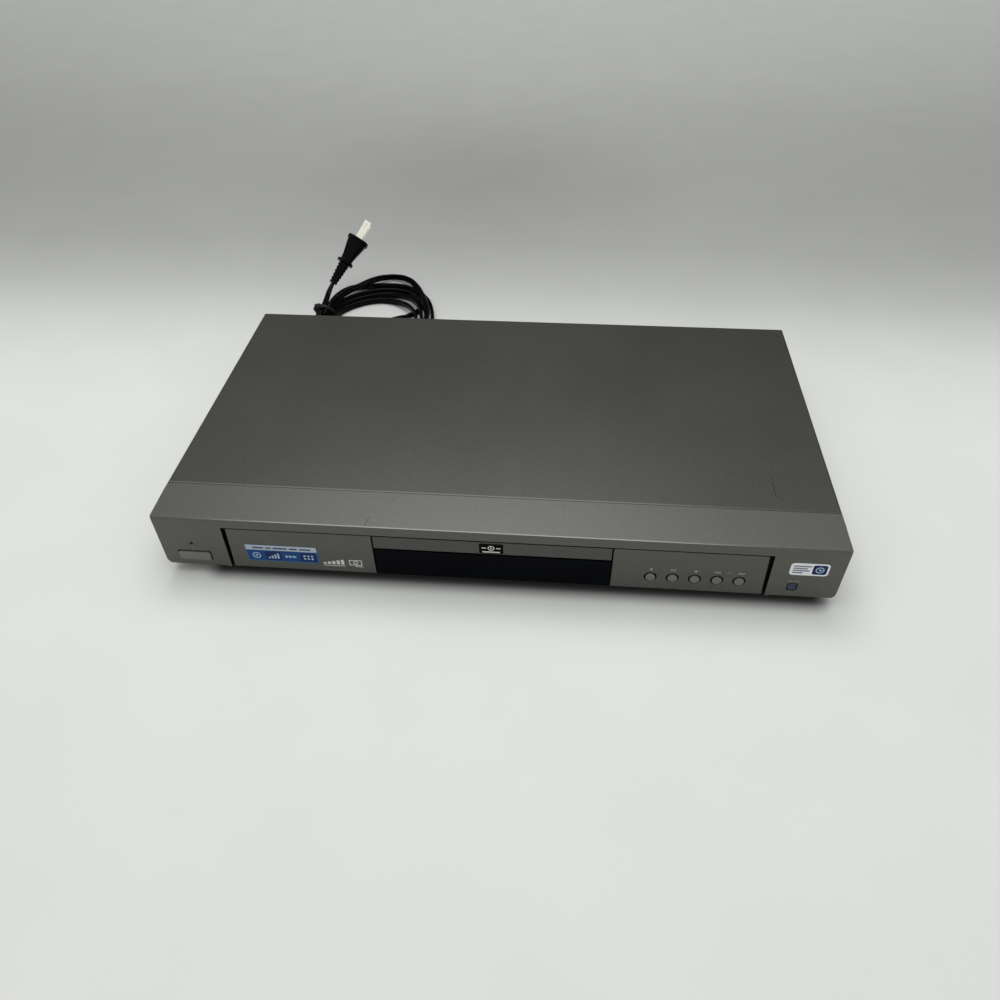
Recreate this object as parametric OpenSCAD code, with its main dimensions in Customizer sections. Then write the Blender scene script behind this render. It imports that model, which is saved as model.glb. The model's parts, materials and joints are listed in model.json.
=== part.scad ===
// Disc player with a loading tray: sheet metal case, moulded front, tray loader and mains lead.
// Millimetres. X to the right, Y from the front to the back, Z up from the surface it stands on.
// Heights are above that surface. Depths are behind the front face until placed() centres them.

/* [Case] */
// Width over the top cover
body_w = 430; // [424:1:450]
// Depth from the front face to the back of the top cover
body_d = 245; // [240:1:280]
// Height of the upright front face
front_h = 42; // [41:0.5:46]
// Rise of the ledge behind the front face
ledge_drop = 3; // [2:0.5:4]
// Depth of the ledge
ledge_d = 30; // [28:1:36]
// Sheet thickness of the top cover
cover_t = 0.8; // [0.6:0.1:1.2]
// Sheet thickness of the bottom and back
sheet_t = 1; // [0.8:0.1:1.2]
// Wall of the moulded front
panel_t = 2.5; // [2:0.1:3]
// Radius of the lower corners of the front
corner_r = 5; // [3:0.5:6]

/* [Feet] */
// Height of the feet
foot_h = 7; // [6:0.5:10]
// Diameter of the feet
foot_dia = 26; // [20:1:32]

/* [Front] */
// Height of the plain brow above the recess
brow_h = 6.1; // [6:0.1:8]
// Width of the plain front on each side of the recess
front_side = 43.6; // [43:0.2:50]
// Depth of the recess
recess_d = 3.5; // [3:0.1:4]
// Width of the groove beside each insert
groove_w = 3; // [1.6:0.1:3.4]
// Height of the tray door
door_h = 10.5; // [10.2:0.1:11.5]
// Gap around the tray door
door_gap = 1; // [0.6:0.1:1.2]
// Thickness of the tray door
door_t = 3; // [2.6:0.1:3.2]
// Size of the small plate on the tray door
plate_size = [15, 8]; // [6:0.5:16]

/* [Buttons] */
// Diameter of the round buttons
key_dia = 6.2; // [5.6:0.1:6.6]
// Black gap around each round button
key_gap = 0.85; // [0.5:0.05:1]
// Distance between the round buttons, as a share of their insert
key_step = 0.1452; // [0.14:0.0004:0.15]
// Place of the first round button, as a share of their insert
key_start = 0.2681; // [0.26:0.0001:0.28]
// Depth of the round buttons' centres under the top edge
key_drop = 30.2; // [29:0.1:31]
// Size of the power button
power_size = [21, 7.2]; // [6:0.1:22]
// How far the buttons stand out
key_out = 0.9; // [0.5:0.1:1.2]
// Travel of the buttons
key_travel = 0.6; // [0.4:0.1:0.7]

/* [Disc loader] */
// Width of the disc tray
tray_w = 146.4; // [145.6:0.2:147.6]
// How far the tray door is wider than the tray on each side
door_over = 1.2; // [1:0.1:1.6]
// Radius of the disc well
well_r = 60.5; // [60.2:0.1:61]
// Radius of the small disc well
small_well_r = 41; // [40.5:0.1:42]
// Distance from the front face to the middle of the disc
disc_y = 79; // [78:0.5:80]
// Length of the tray's runners, from the front face
tray_len = 190; // [184:1:192]
// Width of the slot from the middle of the tray to its back
slot_w = 34; // [33:0.5:36]
// Module of the rack and its pinion
rack_m = 1; // [0.95:0.01:1]
// Module of the reduction gears
gear_m = 0.8; // [0.76:0.01:0.8]
// Radius of the gear posts
post_r = 2; // [1.5:0.1:2.2]
// Running clearance of wheels on their posts and of pins in their holes
run_fit = 0.05; // [0.02:0.01:0.08]
// Radius of the turntable
table_r = 15; // [14:0.5:15.5]
// Travel of the optical pickup
pickup_travel = 35; // [30:1:36]
// Radius of the pickup's guide rods
rod_r = 1.5; // [1.2:0.1:1.6]

/* [Electronics] */
// Thickness of the circuit boards
board_t = 1.6; // [1.2:0.1:1.8]
// Height of the board supports
standoff_h = 5; // [4:0.5:6]
// Distance between the phono sockets
jack_pitch = 14; // [13:0.5:14]
// Radius of a phono socket's shell
jack_r = 4.15; // [4:0.05:4.3]
// How far the phono sockets stand out of the back
jack_out = 8.5; // [7:0.5:10]

/* [Hidden] */
$fn = 48;
eps = 0.01;

// Heights of the case
front_top = foot_h + front_h;
case_top = front_top + ledge_drop;
floor_top = foot_h + sheet_t;
recess_top = front_top - brow_h;
door_top = recess_top - door_gap;
door_bot = door_top - door_h;
window_top = door_bot - door_gap;
insert_bot = foot_h + 1;
half_w = body_w / 2;
case_gap = 0.3;
cover_y = ledge_d + case_gap;
back_y = body_d - cover_t;
back_in = back_y - sheet_t;
side_in = half_w - cover_t - 0.1;
chassis_y = 14.3;

// The part is centred between the front buttons and the tips of the phono sockets
front_y = -(back_y + jack_out - key_out) / 2;

// Front details
door_half = tray_w / 2 + door_over;
recess_half = half_w - front_side;
recess_flare = 0.6;
insert_edge = recess_half - groove_w;
key_pitch = (insert_edge - door_half) * key_step;
key_x = door_half + (insert_edge - door_half) * key_start;
insert_flare = 1.4;
insert_gap = 1;
recess_back = recess_d + panel_t;
key_z = front_top - key_drop;
power_x = 20.8 - half_w;
power_z = foot_h + 9.6;
power_travel = 0.8;
lamp_z = front_top - 21.6;
lamp_r = 1;
square_x = half_w - 28.1;
square_z = foot_h + 9.4;
square_size = [5.3, 5.7];
cap_gap = 0.6;
flange_gap = 0.3;
flange_t = 1;
board_y = recess_back + 6;
switch_gap = 0.1;
stem_r = 1.2;
stem_end = recess_back + 3;
front_board_z = [foot_h + 3.5, window_top - 1];
tube_half = 50;
front_board_x = [-tube_half - 10, square_x + 9];
front_posts = [for (x = [-tube_half - 6, door_half + 5.4, square_x - 14.9],
    z = [front_board_z[0] + 4.5, front_board_z[1] - 4.5]) [x, z]];
post_out = 2.4;
standby_posts = [for (s = [-1, 1]) [power_x + s * 11, power_z + power_size[1] / 2 + 4.6]];

// Disc loader: heights
tray_z = door_bot + 2.7;
small_well_z = tray_z + 1.2;
well_z = tray_z + 2.4;
tray_top = tray_z + 4.8;
plate_z = tray_z - 8;
plate_t = 2;
deck_top = tray_z - 9;
deck_t = 2;
disc_z = well_z + 1;
bridge_z = tray_top + 2.8;
bridge_t = 2;
rod_z = deck_top + 3;

// Disc loader: plan
tray_front = door_t;
tray_back = disc_y + well_r + 20;
runner_w = 12;
frame_in = tray_w / 2 + 0.8;
frame_wall = 2;
frame_y = [18, tray_len + 6];
frame_top = bridge_z;
rear_plate_y = frame_y[1] - 16;
guide_y = [43, 44.8];
guide_low = floor_top + 0.3;
gear_y = 36;
rack_x = tray_w / 2 - 12.2;
pinion_teeth = 18;
wheel_teeth = 38;
small_teeth = 15;
pinion_r = pinion_teeth * rack_m / 2;
wheel_r = wheel_teeth * gear_m / 2;
small_r = small_teeth * gear_m / 2;
backlash = 0.2;
drive_x = rack_x - pinion_r;
pulley_x = drive_x - wheel_r - small_r;
gear_z = plate_z + 0.3;
pulley_r = 14;
groove_r = 13;
motor_x = -12;
motor_y = 30.5;
motor_r = 12;
motor_groove_r = 3;
belt_gap = 0.2;
belt_t = 1;

// Deck and cam
pivot_y = disc_y + 95;
pivot_z = deck_top - 1;
deck_half = 50;
pin_out = 6;
guide_half = deck_half + 10;
cam_y = [guide_y[1] + 0.5, guide_y[1] + 3.5];
deck_front = cam_y[1] + 2.7;
cam_pins = [-18, 18];
cam_pin_r = 1.5;
cam_pin_z = pivot_z - 1.9;
cam_slot_gap = 0.35;
cam_travel = 20;
deck_fall = 4;
cam_drop = (pivot_y - (cam_y[0] + cam_y[1]) / 2) * sin(deck_fall);
cam_half_gap = cam_pin_r + cam_slot_gap;
ear_x = [deck_half + 2, deck_half + pin_out + 1];
cam_low = cam_pin_z - cam_drop - cam_half_gap - 1.3;
skirt_h = 4.5;
pickup_y = [disc_y + 13, disc_y + 37];
lens_y = disc_y + 23;
rod_x = 22;
screw_x = 30;
screw_z = deck_top + 4.2;
screw_r = 1.5;
deck_open = [pickup_y[0] - 0.8, pickup_y[1] + pickup_travel + 0.8];

// Rear and boards
board_z = floor_top + standoff_h;
jack_z = board_z + board_t + 9.5;
optical_x = half_w - 20.4;
coax_x = optical_x - 12.6;
block_gap = 2;
av_x = [for (i = [3:-1:1]) coax_x - block_gap - i * jack_pitch];
component_x = [for (i = [3:-1:1]) av_x[0] - block_gap - i * jack_pitch];
phono_x = concat(component_x, av_x, [coax_x]);
socket_half = 5;
cord_x = 30 - half_w;
cord_z = foot_h + 15;
screw_head_r = 3.2;
screw_head_t = 1.2;
rear_screws = [65 - half_w, 0, half_w - 65];
side_screws = [ledge_d + 30, body_d - 45];
side_screw_z = foot_h + 9;
board_edge = 8;
power_board_d = 136;
power_board_x = [board_edge - half_w, -frame_in - frame_wall - 2 * board_edge];
power_board_y = [back_in - 11.2 - power_board_d, back_in - 11.2];
main_board_x = [frame_in + frame_wall + board_edge, half_w - board_edge];
main_board_y = [ledge_d + 30, back_in - 3];

// Mains lead: its points are chosen by hand, with the exit in the case's back at cord_datum
cord_datum = [-185, 118.3, 0];
cord_w = 6;
cord_t = 3;
lead_route = [[-185, 147, 22], [-185, 151, 21.7], [-185, 156, 20.5], [-185.2, 162, 18.1],
    [-185.5, 168, 15.2], [-185.7, 174, 12.5], [-185.9, 180, 10.2], [-186, 185, 9.1],
    [-186, 188, 8.8], [-186, 190, 8.8]];
tail_route = [[-192.5, 204.6, 12.4], [-192.5, 206.2, 12.4], [-192.6, 209.8, 12.4],
    [-192.6, 213.6, 12.6], [-192.5, 217.5, 13.1], [-192.2, 221.3, 13.9], [-191.8, 225, 15],
    [-191, 228.4, 16.3], [-190, 231.4, 18], [-188.64, 234, 19.92]];
coil_middle = [-139.5, 224];
coil_radii = [50, 60];
coil_hole = [-140, 212];
hole_radii = [33, 24];
coil_h = 6.4;
tie_x = [-196.5, -177];
tie_y = [190, 204.6];
tie_h = 16;
plug_root = [-188.5, 234.2, 20.1];
plug_tilt = 36.7;
plug_turn = 34.3;
plug_roll = 39;
grip_len = 22.4;
plug_len = 27.5;
plug_face_t = 3.2;
blade_len = 18.3;
blade_t = 1.5;
blade_half_gap = 6.35;

// ---------- helpers ----------

// Moves depths behind the front face to the middle of the part
module placed() translate([0, front_y, 0]) children();

// A block between two corners given as ranges along X, Y and Z
module block(x, y, z)
    translate([x[0], y[0], z[0]]) cube([x[1] - x[0], y[1] - y[0], z[1] - z[0]]);

// Extrudes an X-Z outline along Y
module along_y(y)
    translate([0, y[1], 0]) rotate([90, 0, 0]) linear_extrude(y[1] - y[0]) children();

// Extrudes a Y-Z outline along X
module along_x(x)
    translate([x[0], 0, 0]) rotate([90, 0, 90]) linear_extrude(x[1] - x[0]) children();

// Extrudes an X-Y outline along Z
module along_z(z) translate([0, 0, z[0]]) linear_extrude(z[1] - z[0]) children();

// A round bar along Y or along Z
module bar_y(x, z, r, y) translate([x, y[1], z]) rotate([90, 0, 0]) cylinder(r = r, h = y[1] - y[0]);
module bar_z(x, y, r, z) translate([x, y, z[0]]) cylinder(r = r, h = z[1] - z[0]);
module bar_x(y, z, r, x) translate([x[0], y, z]) rotate([0, 90, 0]) cylinder(r = r, h = x[1] - x[0]);

function arc(c, r, a0, a1, n = 6) =
    [for (i = [0:n]) c + r * [cos(a0 + (a1 - a0) * i / n), sin(a0 + (a1 - a0) * i / n)]];

function rounded(x, y, r, n = 4) = concat(
    arc([x[1] - r, y[1] - r], r, 0, 90, n), arc([x[0] + r, y[1] - r], r, 90, 180, n),
    arc([x[0] + r, y[0] + r], r, 180, 270, n), arc([x[1] - r, y[0] + r], r, 270, 360, n));

function ellipse(c, rx, ry, n = 40) =
    [for (i = [0:n - 1]) c + [rx * cos(360 * i / n), ry * sin(360 * i / n)]];

// ---------- gears ----------

function involute(a) = tan(a) * 180 / PI - a;

// Half the angle of a tooth at radius r
function half_tooth(r, rp, n) = let (rb = rp * cos(20), rr = max(r, rb))
    90 / n - backlash / 2 / rp * 180 / PI / 2 + involute(20) - involute(acos(rb / rr));

function gear_points(n, m) = let (rp = n * m / 2, rf = rp - 1.2 * m, ra = rp + m,
        rs = [rf, rp - 0.45 * m, rp + 0.3 * m, ra])
    [for (i = [0:n - 1]) for (k = [0:7])
        let (r = k < 4 ? rs[k] : rs[7 - k], h = half_tooth(r, rp, n),
             a = 360 * i / n + (k < 4 ? -h : h))
        r * [cos(a), sin(a)]];

module gear(n, m, turn = 0) rotate([0, 0, turn]) polygon(gear_points(n, m));

// Rack outline: teeth point to -X from the pitch line at rack_x, a gap faces gear_y
function rack_points(y0, count, m) = let (p = PI * m, w = p / 2 - backlash / 2, s = tan(20) * m)
    concat([for (i = [0:count - 1]) for (k = [0:3])
        let (c = y0 + (i + 0.5) * p, out = (k == 1 || k == 2),
             hw = out ? w / 2 - s : w / 2 + 1.2 * s)
        [rack_x + (out ? -m : 1.2 * m), c + (k < 2 ? -hw : hw)]],
        [[rack_x + 5, y0 + count * p], [rack_x + 5, y0]]);

// ---------- case ----------

// Front outline in X and Z with rounded lower corners
function front_outline(inset) = let (x = half_w - inset, z0 = foot_h + inset,
        r = max(corner_r - inset, 0.5), rt = 1.5)
    concat(arc([x - rt, case_top - rt], rt, 0, 90), arc([rt - x, case_top - rt], rt, 90, 180),
        arc([r - x, z0 + r], r, 180, 270), arc([x - r, z0 + r], r, 270, 360));

// Front profile in Y and Z: upright face, small rounded edge, rising ledge
edge_r = 1.4;
front_profile = concat([[ledge_d, foot_h], [ledge_d, case_top]],
    arc([edge_r, front_top - edge_r + 0.1], edge_r, 96, 180, 4), [[0, foot_h + 0.8], [0.8, foot_h]]);
hollow_profile = [[panel_t, foot_h + panel_t], [panel_t, front_top - panel_t],
    [ledge_d + 1, case_top - panel_t], [ledge_d + 1, foot_h + panel_t]];

function recess_outline(grow) = let (a = recess_half + grow, b = a + recess_flare)
    [[-b, foot_h - 1], [b, foot_h - 1], [a, recess_top + grow], [-a, recess_top + grow]];

module key_holes(r, y)
    for (i = [0:4]) bar_y(key_x + i * key_pitch, key_z, r, y);

module front_panel() color("#55564f") placed() difference() {
    union() {
        difference() {
            intersection() {
                along_y([0, ledge_d]) polygon(front_outline(0));
                along_x([-half_w, half_w]) polygon(front_profile);
            }
            intersection() {
                along_y([0, ledge_d + 1]) polygon(front_outline(panel_t));
                along_x([-half_w, half_w]) polygon(hollow_profile);
            }
        }
        intersection() {
            along_y([eps, recess_back]) polygon(recess_outline(panel_t));
            along_y([0, ledge_d]) polygon(front_outline(0));
        }
        // Ledge under the front edge of the top cover
        block([10 - half_w, half_w - 10], [ledge_d - 4, ledge_d + 6],
            [case_top - cover_t - 1.7, case_top - cover_t - 0.1]);
        for (p = front_posts) bar_y(p[0], p[1], post_out, [recess_back - eps, board_y]);
        for (p = standby_posts) bar_y(p[0], p[1], post_out, [panel_t - eps, board_y]);
    }
    along_y([-1, recess_d]) polygon(recess_outline(0));
    // Tray slot and display opening through the back of the recess
    block([-tray_w / 2 - 0.8, tray_w / 2 + 0.8], [0, recess_back + 1], [door_bot - 0.1, door_top - 0.2]);
    block([-tube_half - 2, tube_half + 2], [0, recess_back + 1], [foot_h + 3.4, window_top - 1.8]);
    // Clear of the bottom chassis
    block([9.5 - half_w, half_w - 9.5], [chassis_y - 0.3, ledge_d + 1], [foot_h - 1, floor_top + 2]);
    key_holes(key_dia / 2 + key_gap + 0.2, [recess_d - 1, recess_back + 1]);
    bar_y(power_x, lamp_z, lamp_r + 0.15, [-1, panel_t + 1]);
    along_y([-1, panel_t + 1]) polygon(rounded(
        [power_x - power_size[0] / 2 - cap_gap, power_x + power_size[0] / 2 + cap_gap],
        [power_z - power_size[1] / 2 - cap_gap, power_z + power_size[1] / 2 + cap_gap], 1.5));
    along_y([-1, panel_t + 1]) polygon(rounded(
        [square_x - square_size[0] / 2 - cap_gap, square_x + square_size[0] / 2 + cap_gap],
        [square_z - square_size[1] / 2 - cap_gap, square_z + square_size[1] / 2 + cap_gap], 1.8));
}

// Insert outline on the right of the tray door
insert_outline = [[door_half + insert_gap, insert_bot], [insert_edge + insert_flare, insert_bot],
    [insert_edge, recess_top - insert_gap * 0.8], [door_half + insert_gap, recess_top - insert_gap * 0.8]];

module left_insert() color("#50524c") placed() mirror([1, 0, 0])
    along_y([0, recess_d]) polygon(insert_outline);

module right_insert() color("#50524c") placed() difference() {
    along_y([0, recess_d]) polygon(insert_outline);
    key_holes(key_dia / 2 + key_gap, [-1, recess_d + 1]);
}

module display_window() color("#14181c") placed()
    block([-door_half, door_half], [0.1, recess_d], [insert_bot, window_top]);

module tray_door() color("#50524c") placed() along_x([-door_half, door_half])
    polygon(concat(arc([0.6, door_top - 0.6], 0.6, 90, 180, 3), arc([0.6, door_bot + 0.6], 0.6, 180, 270, 3),
        [[door_t, door_bot], [door_t, door_top]]));

module door_plate() color("#101214") placed() along_y([-0.5, 0]) polygon(rounded(
    [-plate_size[0] / 2, plate_size[0] / 2],
    [door_top - door_h / 2 - plate_size[1] / 2, door_top - door_h / 2 + plate_size[1] / 2], 0.8));

// ---------- buttons ----------

// A round key: cap, flange behind the wall and a stem to the switch
module round_key(i) color("#5c5e57") placed() union() {
    x = key_x + i * key_pitch;
    bar_y(x, key_z, key_dia / 2, [0.1 - key_out, recess_back + flange_gap + flange_t / 2]);
    bar_y(x, key_z, key_dia / 2 + key_gap + 1,
        [recess_back + flange_gap, recess_back + flange_gap + flange_t]);
    bar_y(x, key_z, stem_r, [recess_back + flange_gap, stem_end]);
}

module eject_button() round_key(0);
module play_button() round_key(1);
module stop_button() round_key(2);
module back_button() round_key(3);
module forward_button() round_key(4);

// A key with a rounded rectangular cap in the plain wall of the front
module plain_key(x, z, size, out, r, travel) placed() union() {
    half = size / 2;
    flange_y = panel_t + flange_gap;
    along_y([-out, flange_y + eps])
        polygon(rounded([x - half[0], x + half[0]], [z - half[1], z + half[1]], r));
    along_y([flange_y, flange_y + flange_t]) polygon(rounded(
        [x - half[0] - 1.6, x + half[0] + 1.6], [z - half[1] - 1.6, z + half[1] + 1.6], 1));
    bar_y(x, z, stem_r, [flange_y, stem_end + key_travel - travel]);
}

module power_button() color("#5c5e57") plain_key(power_x, power_z, power_size, key_out, 1.2, power_travel);
module square_button() color("#1c2440") plain_key(square_x, square_z, square_size, 0, 1.4, key_travel);

module standby_lamp() color("#c0d0c0") placed() union() {
    bar_y(power_x, lamp_z, lamp_r, [-0.1, panel_t + 1]);
    bar_y(power_x, lamp_z, lamp_r + 0.6, [panel_t + 0.5, board_y]);
}

// ---------- boards behind the front ----------

module display_tube() color("#30403c") placed() difference() {
    block([-tube_half, tube_half], [recess_d + 0.6, board_y], [foot_h + 4.4, window_top - 2.8]);
    block([4 - tube_half, tube_half - 4], [recess_d, recess_d + 1.1], [foot_h + 6.4, window_top - 4.8]);
}

module front_board() color("#2c5a34") placed() difference() {
    block(front_board_x, [board_y, board_y + board_t], front_board_z);
    for (p = front_posts) bar_y(p[0], p[1], post_out / 2, [board_y - 1, board_y + board_t + 1]);
}

module standby_board() color("#2c5a34") placed()
    block([power_x - 14, power_x + 14], [board_y, board_y + board_t], front_board_z);

// One push switch: a square body and a round plunger just ahead of the stem
module push_switch(x, z) union() {
    tip = stem_end + key_travel + switch_gap;
    block([x - 3, x + 3], [tip + 0.6, board_y], [z - 3, z + 3]);
    bar_y(x, z, 1.5, [tip, tip + 1]);
}

module key_switches() color("#202020") placed() {
    for (i = [0:4]) push_switch(key_x + i * key_pitch, key_z);
    push_switch(power_x, power_z);
    push_switch(square_x, square_z);
}

// ---------- cover, chassis and back ----------

bend_r = 1.6;
cover_outline = concat([[half_w, foot_h + 0.5]], arc([half_w - bend_r, case_top - bend_r], bend_r, 0, 90, 5),
    arc([bend_r - half_w, case_top - bend_r], bend_r, 90, 180, 5), [[-half_w, foot_h + 0.5]],
    [[cover_t - half_w, foot_h + 0.5]],
    arc([bend_r - half_w, case_top - bend_r], bend_r - cover_t, 180, 90, 5),
    arc([half_w - bend_r, case_top - bend_r], bend_r - cover_t, 90, 0, 5),
    [[half_w - cover_t, foot_h + 0.5]]);

module side_vents()
    for (row = [0, 1], i = [0:15])
        block([-half_w - 1, half_w + 1], [100 + i * 6, 102.4 + i * 6],
            [foot_h + 15 + row * 14, foot_h + 26 + row * 14]);

module top_cover() color("#46473f") placed() difference() {
    union() {
        along_y([cover_y, body_d]) polygon(cover_outline);
        for (x = rear_screws)
            block([x - 8, x + 8], [back_y, body_d], [case_top - 11, case_top - cover_t / 2]);
    }
    side_vents();
    for (x = rear_screws) bar_y(x, case_top - 6, 1.7, [back_y - 1, body_d + 1]);
    for (y = side_screws) bar_x(y, side_screw_z, 1.7, [-half_w - 1, half_w + 1]);
}

// Places of the board supports
power_posts = [for (x = [power_board_x[0] + 5, power_board_x[1] - 5],
    y = [power_board_y[0] + 5, power_board_y[1] - 5]) [x, y]];
main_posts = [for (x = [main_board_x[0] + 5, main_board_x[1] - 5],
    y = [main_board_y[0] + 5, main_board_y[1] - 16]) [x, y]];
frame_posts = [for (x = [8 - frame_in, frame_in - 8], y = [frame_y[0] + 10, frame_y[1] - 8]) [x, y]];
foot_in = 38;
foot_places = [for (y = [36, body_d - 30], s = [-1, 1]) [s * (half_w - foot_in), y]];

module bottom_chassis() color("#9a9c9a") placed() difference() {
    union() {
        block([10 - half_w, half_w - 10], [chassis_y, ledge_d + 2], [foot_h, floor_top]);
        block([-side_in, side_in], [ledge_d + 1, back_in], [foot_h, floor_top]);
        for (s = [-1, 1]) block(s < 0 ? [-side_in, sheet_t - side_in] : [side_in - sheet_t, side_in],
            [ledge_d + 4, back_in - 2], [foot_h, foot_h + 14]);
        for (p = concat(power_posts, main_posts)) bar_z(p[0], p[1], 3, [foot_h + eps, board_z]);
    }
    for (p = concat(power_posts, main_posts)) bar_z(p[0], p[1], 1.2, [floor_top + 0.6, board_z + 1]);
    for (p = foot_places) bar_z(p[0], p[1], 2.1, [foot_h - 1, floor_top + 1]);
    // Vents under the power board
    for (i = [0:4], y = [power_board_y[0] + 13, power_board_y[0] + 53])
        block([45 + i * 10 - half_w, 48 + i * 10 - half_w], [y, y + 26], [foot_h - 1, floor_top + 1]);
    for (y = side_screws) bar_x(y, side_screw_z, 1.3, [-half_w - 1, half_w + 1]);
}

module rear_panel() color("#8c8e8c") placed() difference() {
    union() {
        along_y([back_in, back_y]) polygon(rounded([-side_in, side_in],
            [foot_h, case_top - cover_t - 0.1], 1));
        block([20 - half_w, half_w - 20], [back_in - 9, back_in + eps],
            [case_top - cover_t - 0.1 - sheet_t, case_top - cover_t - 0.1]);
        block([-frame_in, frame_in], [back_in - 9, back_in + eps], [floor_top, floor_top + sheet_t]);
    }
    for (x = phono_x) bar_y(x, jack_z, 5.9, [back_in - 1, back_y + 1]);
    block([optical_band[0] - 0.2, optical_band[1] + 0.2], [back_in - 1, back_y + 1],
        [jack_z - socket_half - 0.2, jack_z + socket_half + 0.2]);
    along_y([back_in - 1, back_y + 1])
        polygon(rounded([cord_x - 6.2, cord_x + 6.2], [cord_z - 4.2, cord_z + 4.2], 2));
    for (i = [0:13], row = [0, 1])
        block([rear_screws[0] + i * 7, rear_screws[0] + 3 + i * 7], [back_in - 1, back_y + 1],
            [foot_h + 10 + row * 13, foot_h + 20 + row * 13]);
    for (x = rear_screws) bar_y(x, case_top - 6, 1.3, [back_in - 1, back_y + 1]);
}

module foot(i) color("#1c1c1c") placed() {
    p = foot_places[i];
    difference() {
        union() {
            bar_z(p[0], p[1], foot_dia / 2, [1, foot_h]);
            bar_z(p[0], p[1], foot_dia / 2 - 1.5, [0, 1 + eps]);
        }
        bar_z(p[0], p[1], foot_dia / 2 - 5, [-1, 2]);
        bar_z(p[0], p[1], 2.1, [0, foot_h + 1]);
    }
}

module foot_front_left() foot(0);
module foot_front_right() foot(1);
module foot_rear_left() foot(2);
module foot_rear_right() foot(3);

// Screws of the top cover: three behind and two on each side
module cover_screws() color("#303030") placed() {
    for (x = rear_screws) {
        bar_y(x, case_top - 6, screw_head_r, [body_d, body_d + screw_head_t]);
        bar_y(x, case_top - 6, 1.25, [back_in - 3, body_d + eps]);
    }
    for (s = [-1, 1], y = side_screws) {
        a = s * half_w;
        b = s * (half_w + screw_head_t);
        c = s * (half_w - 5);
        bar_x(y, side_screw_z, screw_head_r, [min(a, b), max(a, b)]);
        bar_x(y, side_screw_z, 1.25, [min(a, c), max(a, c)]);
    }
}

// ---------- electronics ----------

module power_board() color("#8a7440") placed() difference() {
    block(power_board_x, power_board_y, [board_z, board_z + board_t]);
    for (p = power_posts) bar_z(p[0], p[1], 1.6, [board_z - 1, board_z + board_t + 1]);
}

parts_z = floor_top + standoff_h + board_t;

// A block w wide and d deep around c, and z above the boards
module part_block(c, w, d, z)
    block([c[0] - w / 2, c[0] + w / 2], [c[1] - d / 2, c[1] + d / 2], [parts_z + z[0], parts_z + z[1]]);

// Corners from which the parts on each board are placed
power_at = [power_board_x[0], power_board_y[0]];
main_at = [main_board_x[0], main_board_y[0]];

module transformer() color("#c8b070") placed() union() {
    c = power_at + [70, 70];
    part_block(c, 28, 32, [0, 4]);
    part_block(c, 24, 24, [4 - eps, 20]);
    part_block(c, 32, 12, [2, 22]);
}

module power_capacitors() color("#203060") placed() {
    for (c = [[26, 54, 9, 26], [26, 80, 6, 16]])
        bar_z(power_at[0] + c[0], power_at[1] + c[1], c[2], [parts_z, parts_z + c[3]]);
    for (i = [0:3]) bar_z(power_board_x[1] - 13, power_at[1] + 22 + i * 14, 5, [parts_z, parts_z + 13]);
}

module heatsink() color("#a8a8a8") placed() union() {
    c = [(power_board_x[0] + power_board_x[1]) / 2 + 6.5, power_at[1] + 33];
    part_block(c, 60, 2, [0, 26]);
    for (i = [0:7]) part_block(c + [i * 8 - 28, -5], 1.6, 9, [6, 26]);
}

module main_board() color("#2c5a34") placed() difference() {
    block(main_board_x, main_board_y, [board_z, board_z + board_t]);
    for (p = main_posts) bar_z(p[0], p[1], 1.6, [board_z - 1, board_z + board_t + 1]);
}

module main_chips() color("#181818") placed() {
    part_block(main_at + [50, 74], 28, 28, [0, 2.6]);
    for (y = [63, 93]) part_block(main_at + [82, y], 12, 22, [0, 1.8]);
    part_block(main_at + [24, 118], 8, 16, [0, 2]);
    for (y = [90, 106]) bar_z(main_board_x[1] - 17, main_at[1] + y, 4, [parts_z, parts_z + 11]);
    // Connector of the flat cable
    part_block([ribbon_x, ribbon_end + 3], 20, 6, [0, 5]);
}

// Moulded block with one phono socket for each entry of xs
core_r = jack_r - 0.6;
contact_r = 1.6;
module phono_block(xs) difference() {
    union() {
        block([xs[0] - 6.5, xs[len(xs) - 1] + 6.5], [back_in - 14, back_in], [parts_z, jack_z + 7]);
        for (x = xs) {
            bar_y(x, jack_z, 5.6, [back_in - eps, back_y + 1]);
            bar_y(x, jack_z, core_r, [back_y + 1 - eps, back_y + jack_out - 0.5]);
        }
    }
    for (x = xs) bar_y(x, jack_z, contact_r, [back_y - 1, back_y + jack_out + 1]);
}

module component_jacks() color("#202020") placed() phono_block(component_x);
module av_jacks() color("#202020") placed() phono_block(av_x);
optical_band = [optical_x - socket_half, optical_x + socket_half];
module digital_jacks() color("#202020") placed() union() {
    phono_block([coax_x]);
    difference() {
        union() {
            block(optical_band, [back_in - 14, back_in], [parts_z, jack_z + socket_half]);
            block(optical_band, [back_in - eps, back_y + 1], [jack_z - socket_half, jack_z + socket_half]);
        }
        block([optical_x - 3.2, optical_x + 3.2], [back_y - 3, back_y + 2], [jack_z - 3.2, jack_z + 3.2]);
    }
}

module jack_shells() color("#d0d0cc") placed()
    for (x = phono_x) difference() {
        bar_y(x, jack_z, jack_r, [back_y + 1, back_y + jack_out]);
        bar_y(x, jack_z, core_r, [back_y, back_y + jack_out + 1]);
    }

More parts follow.
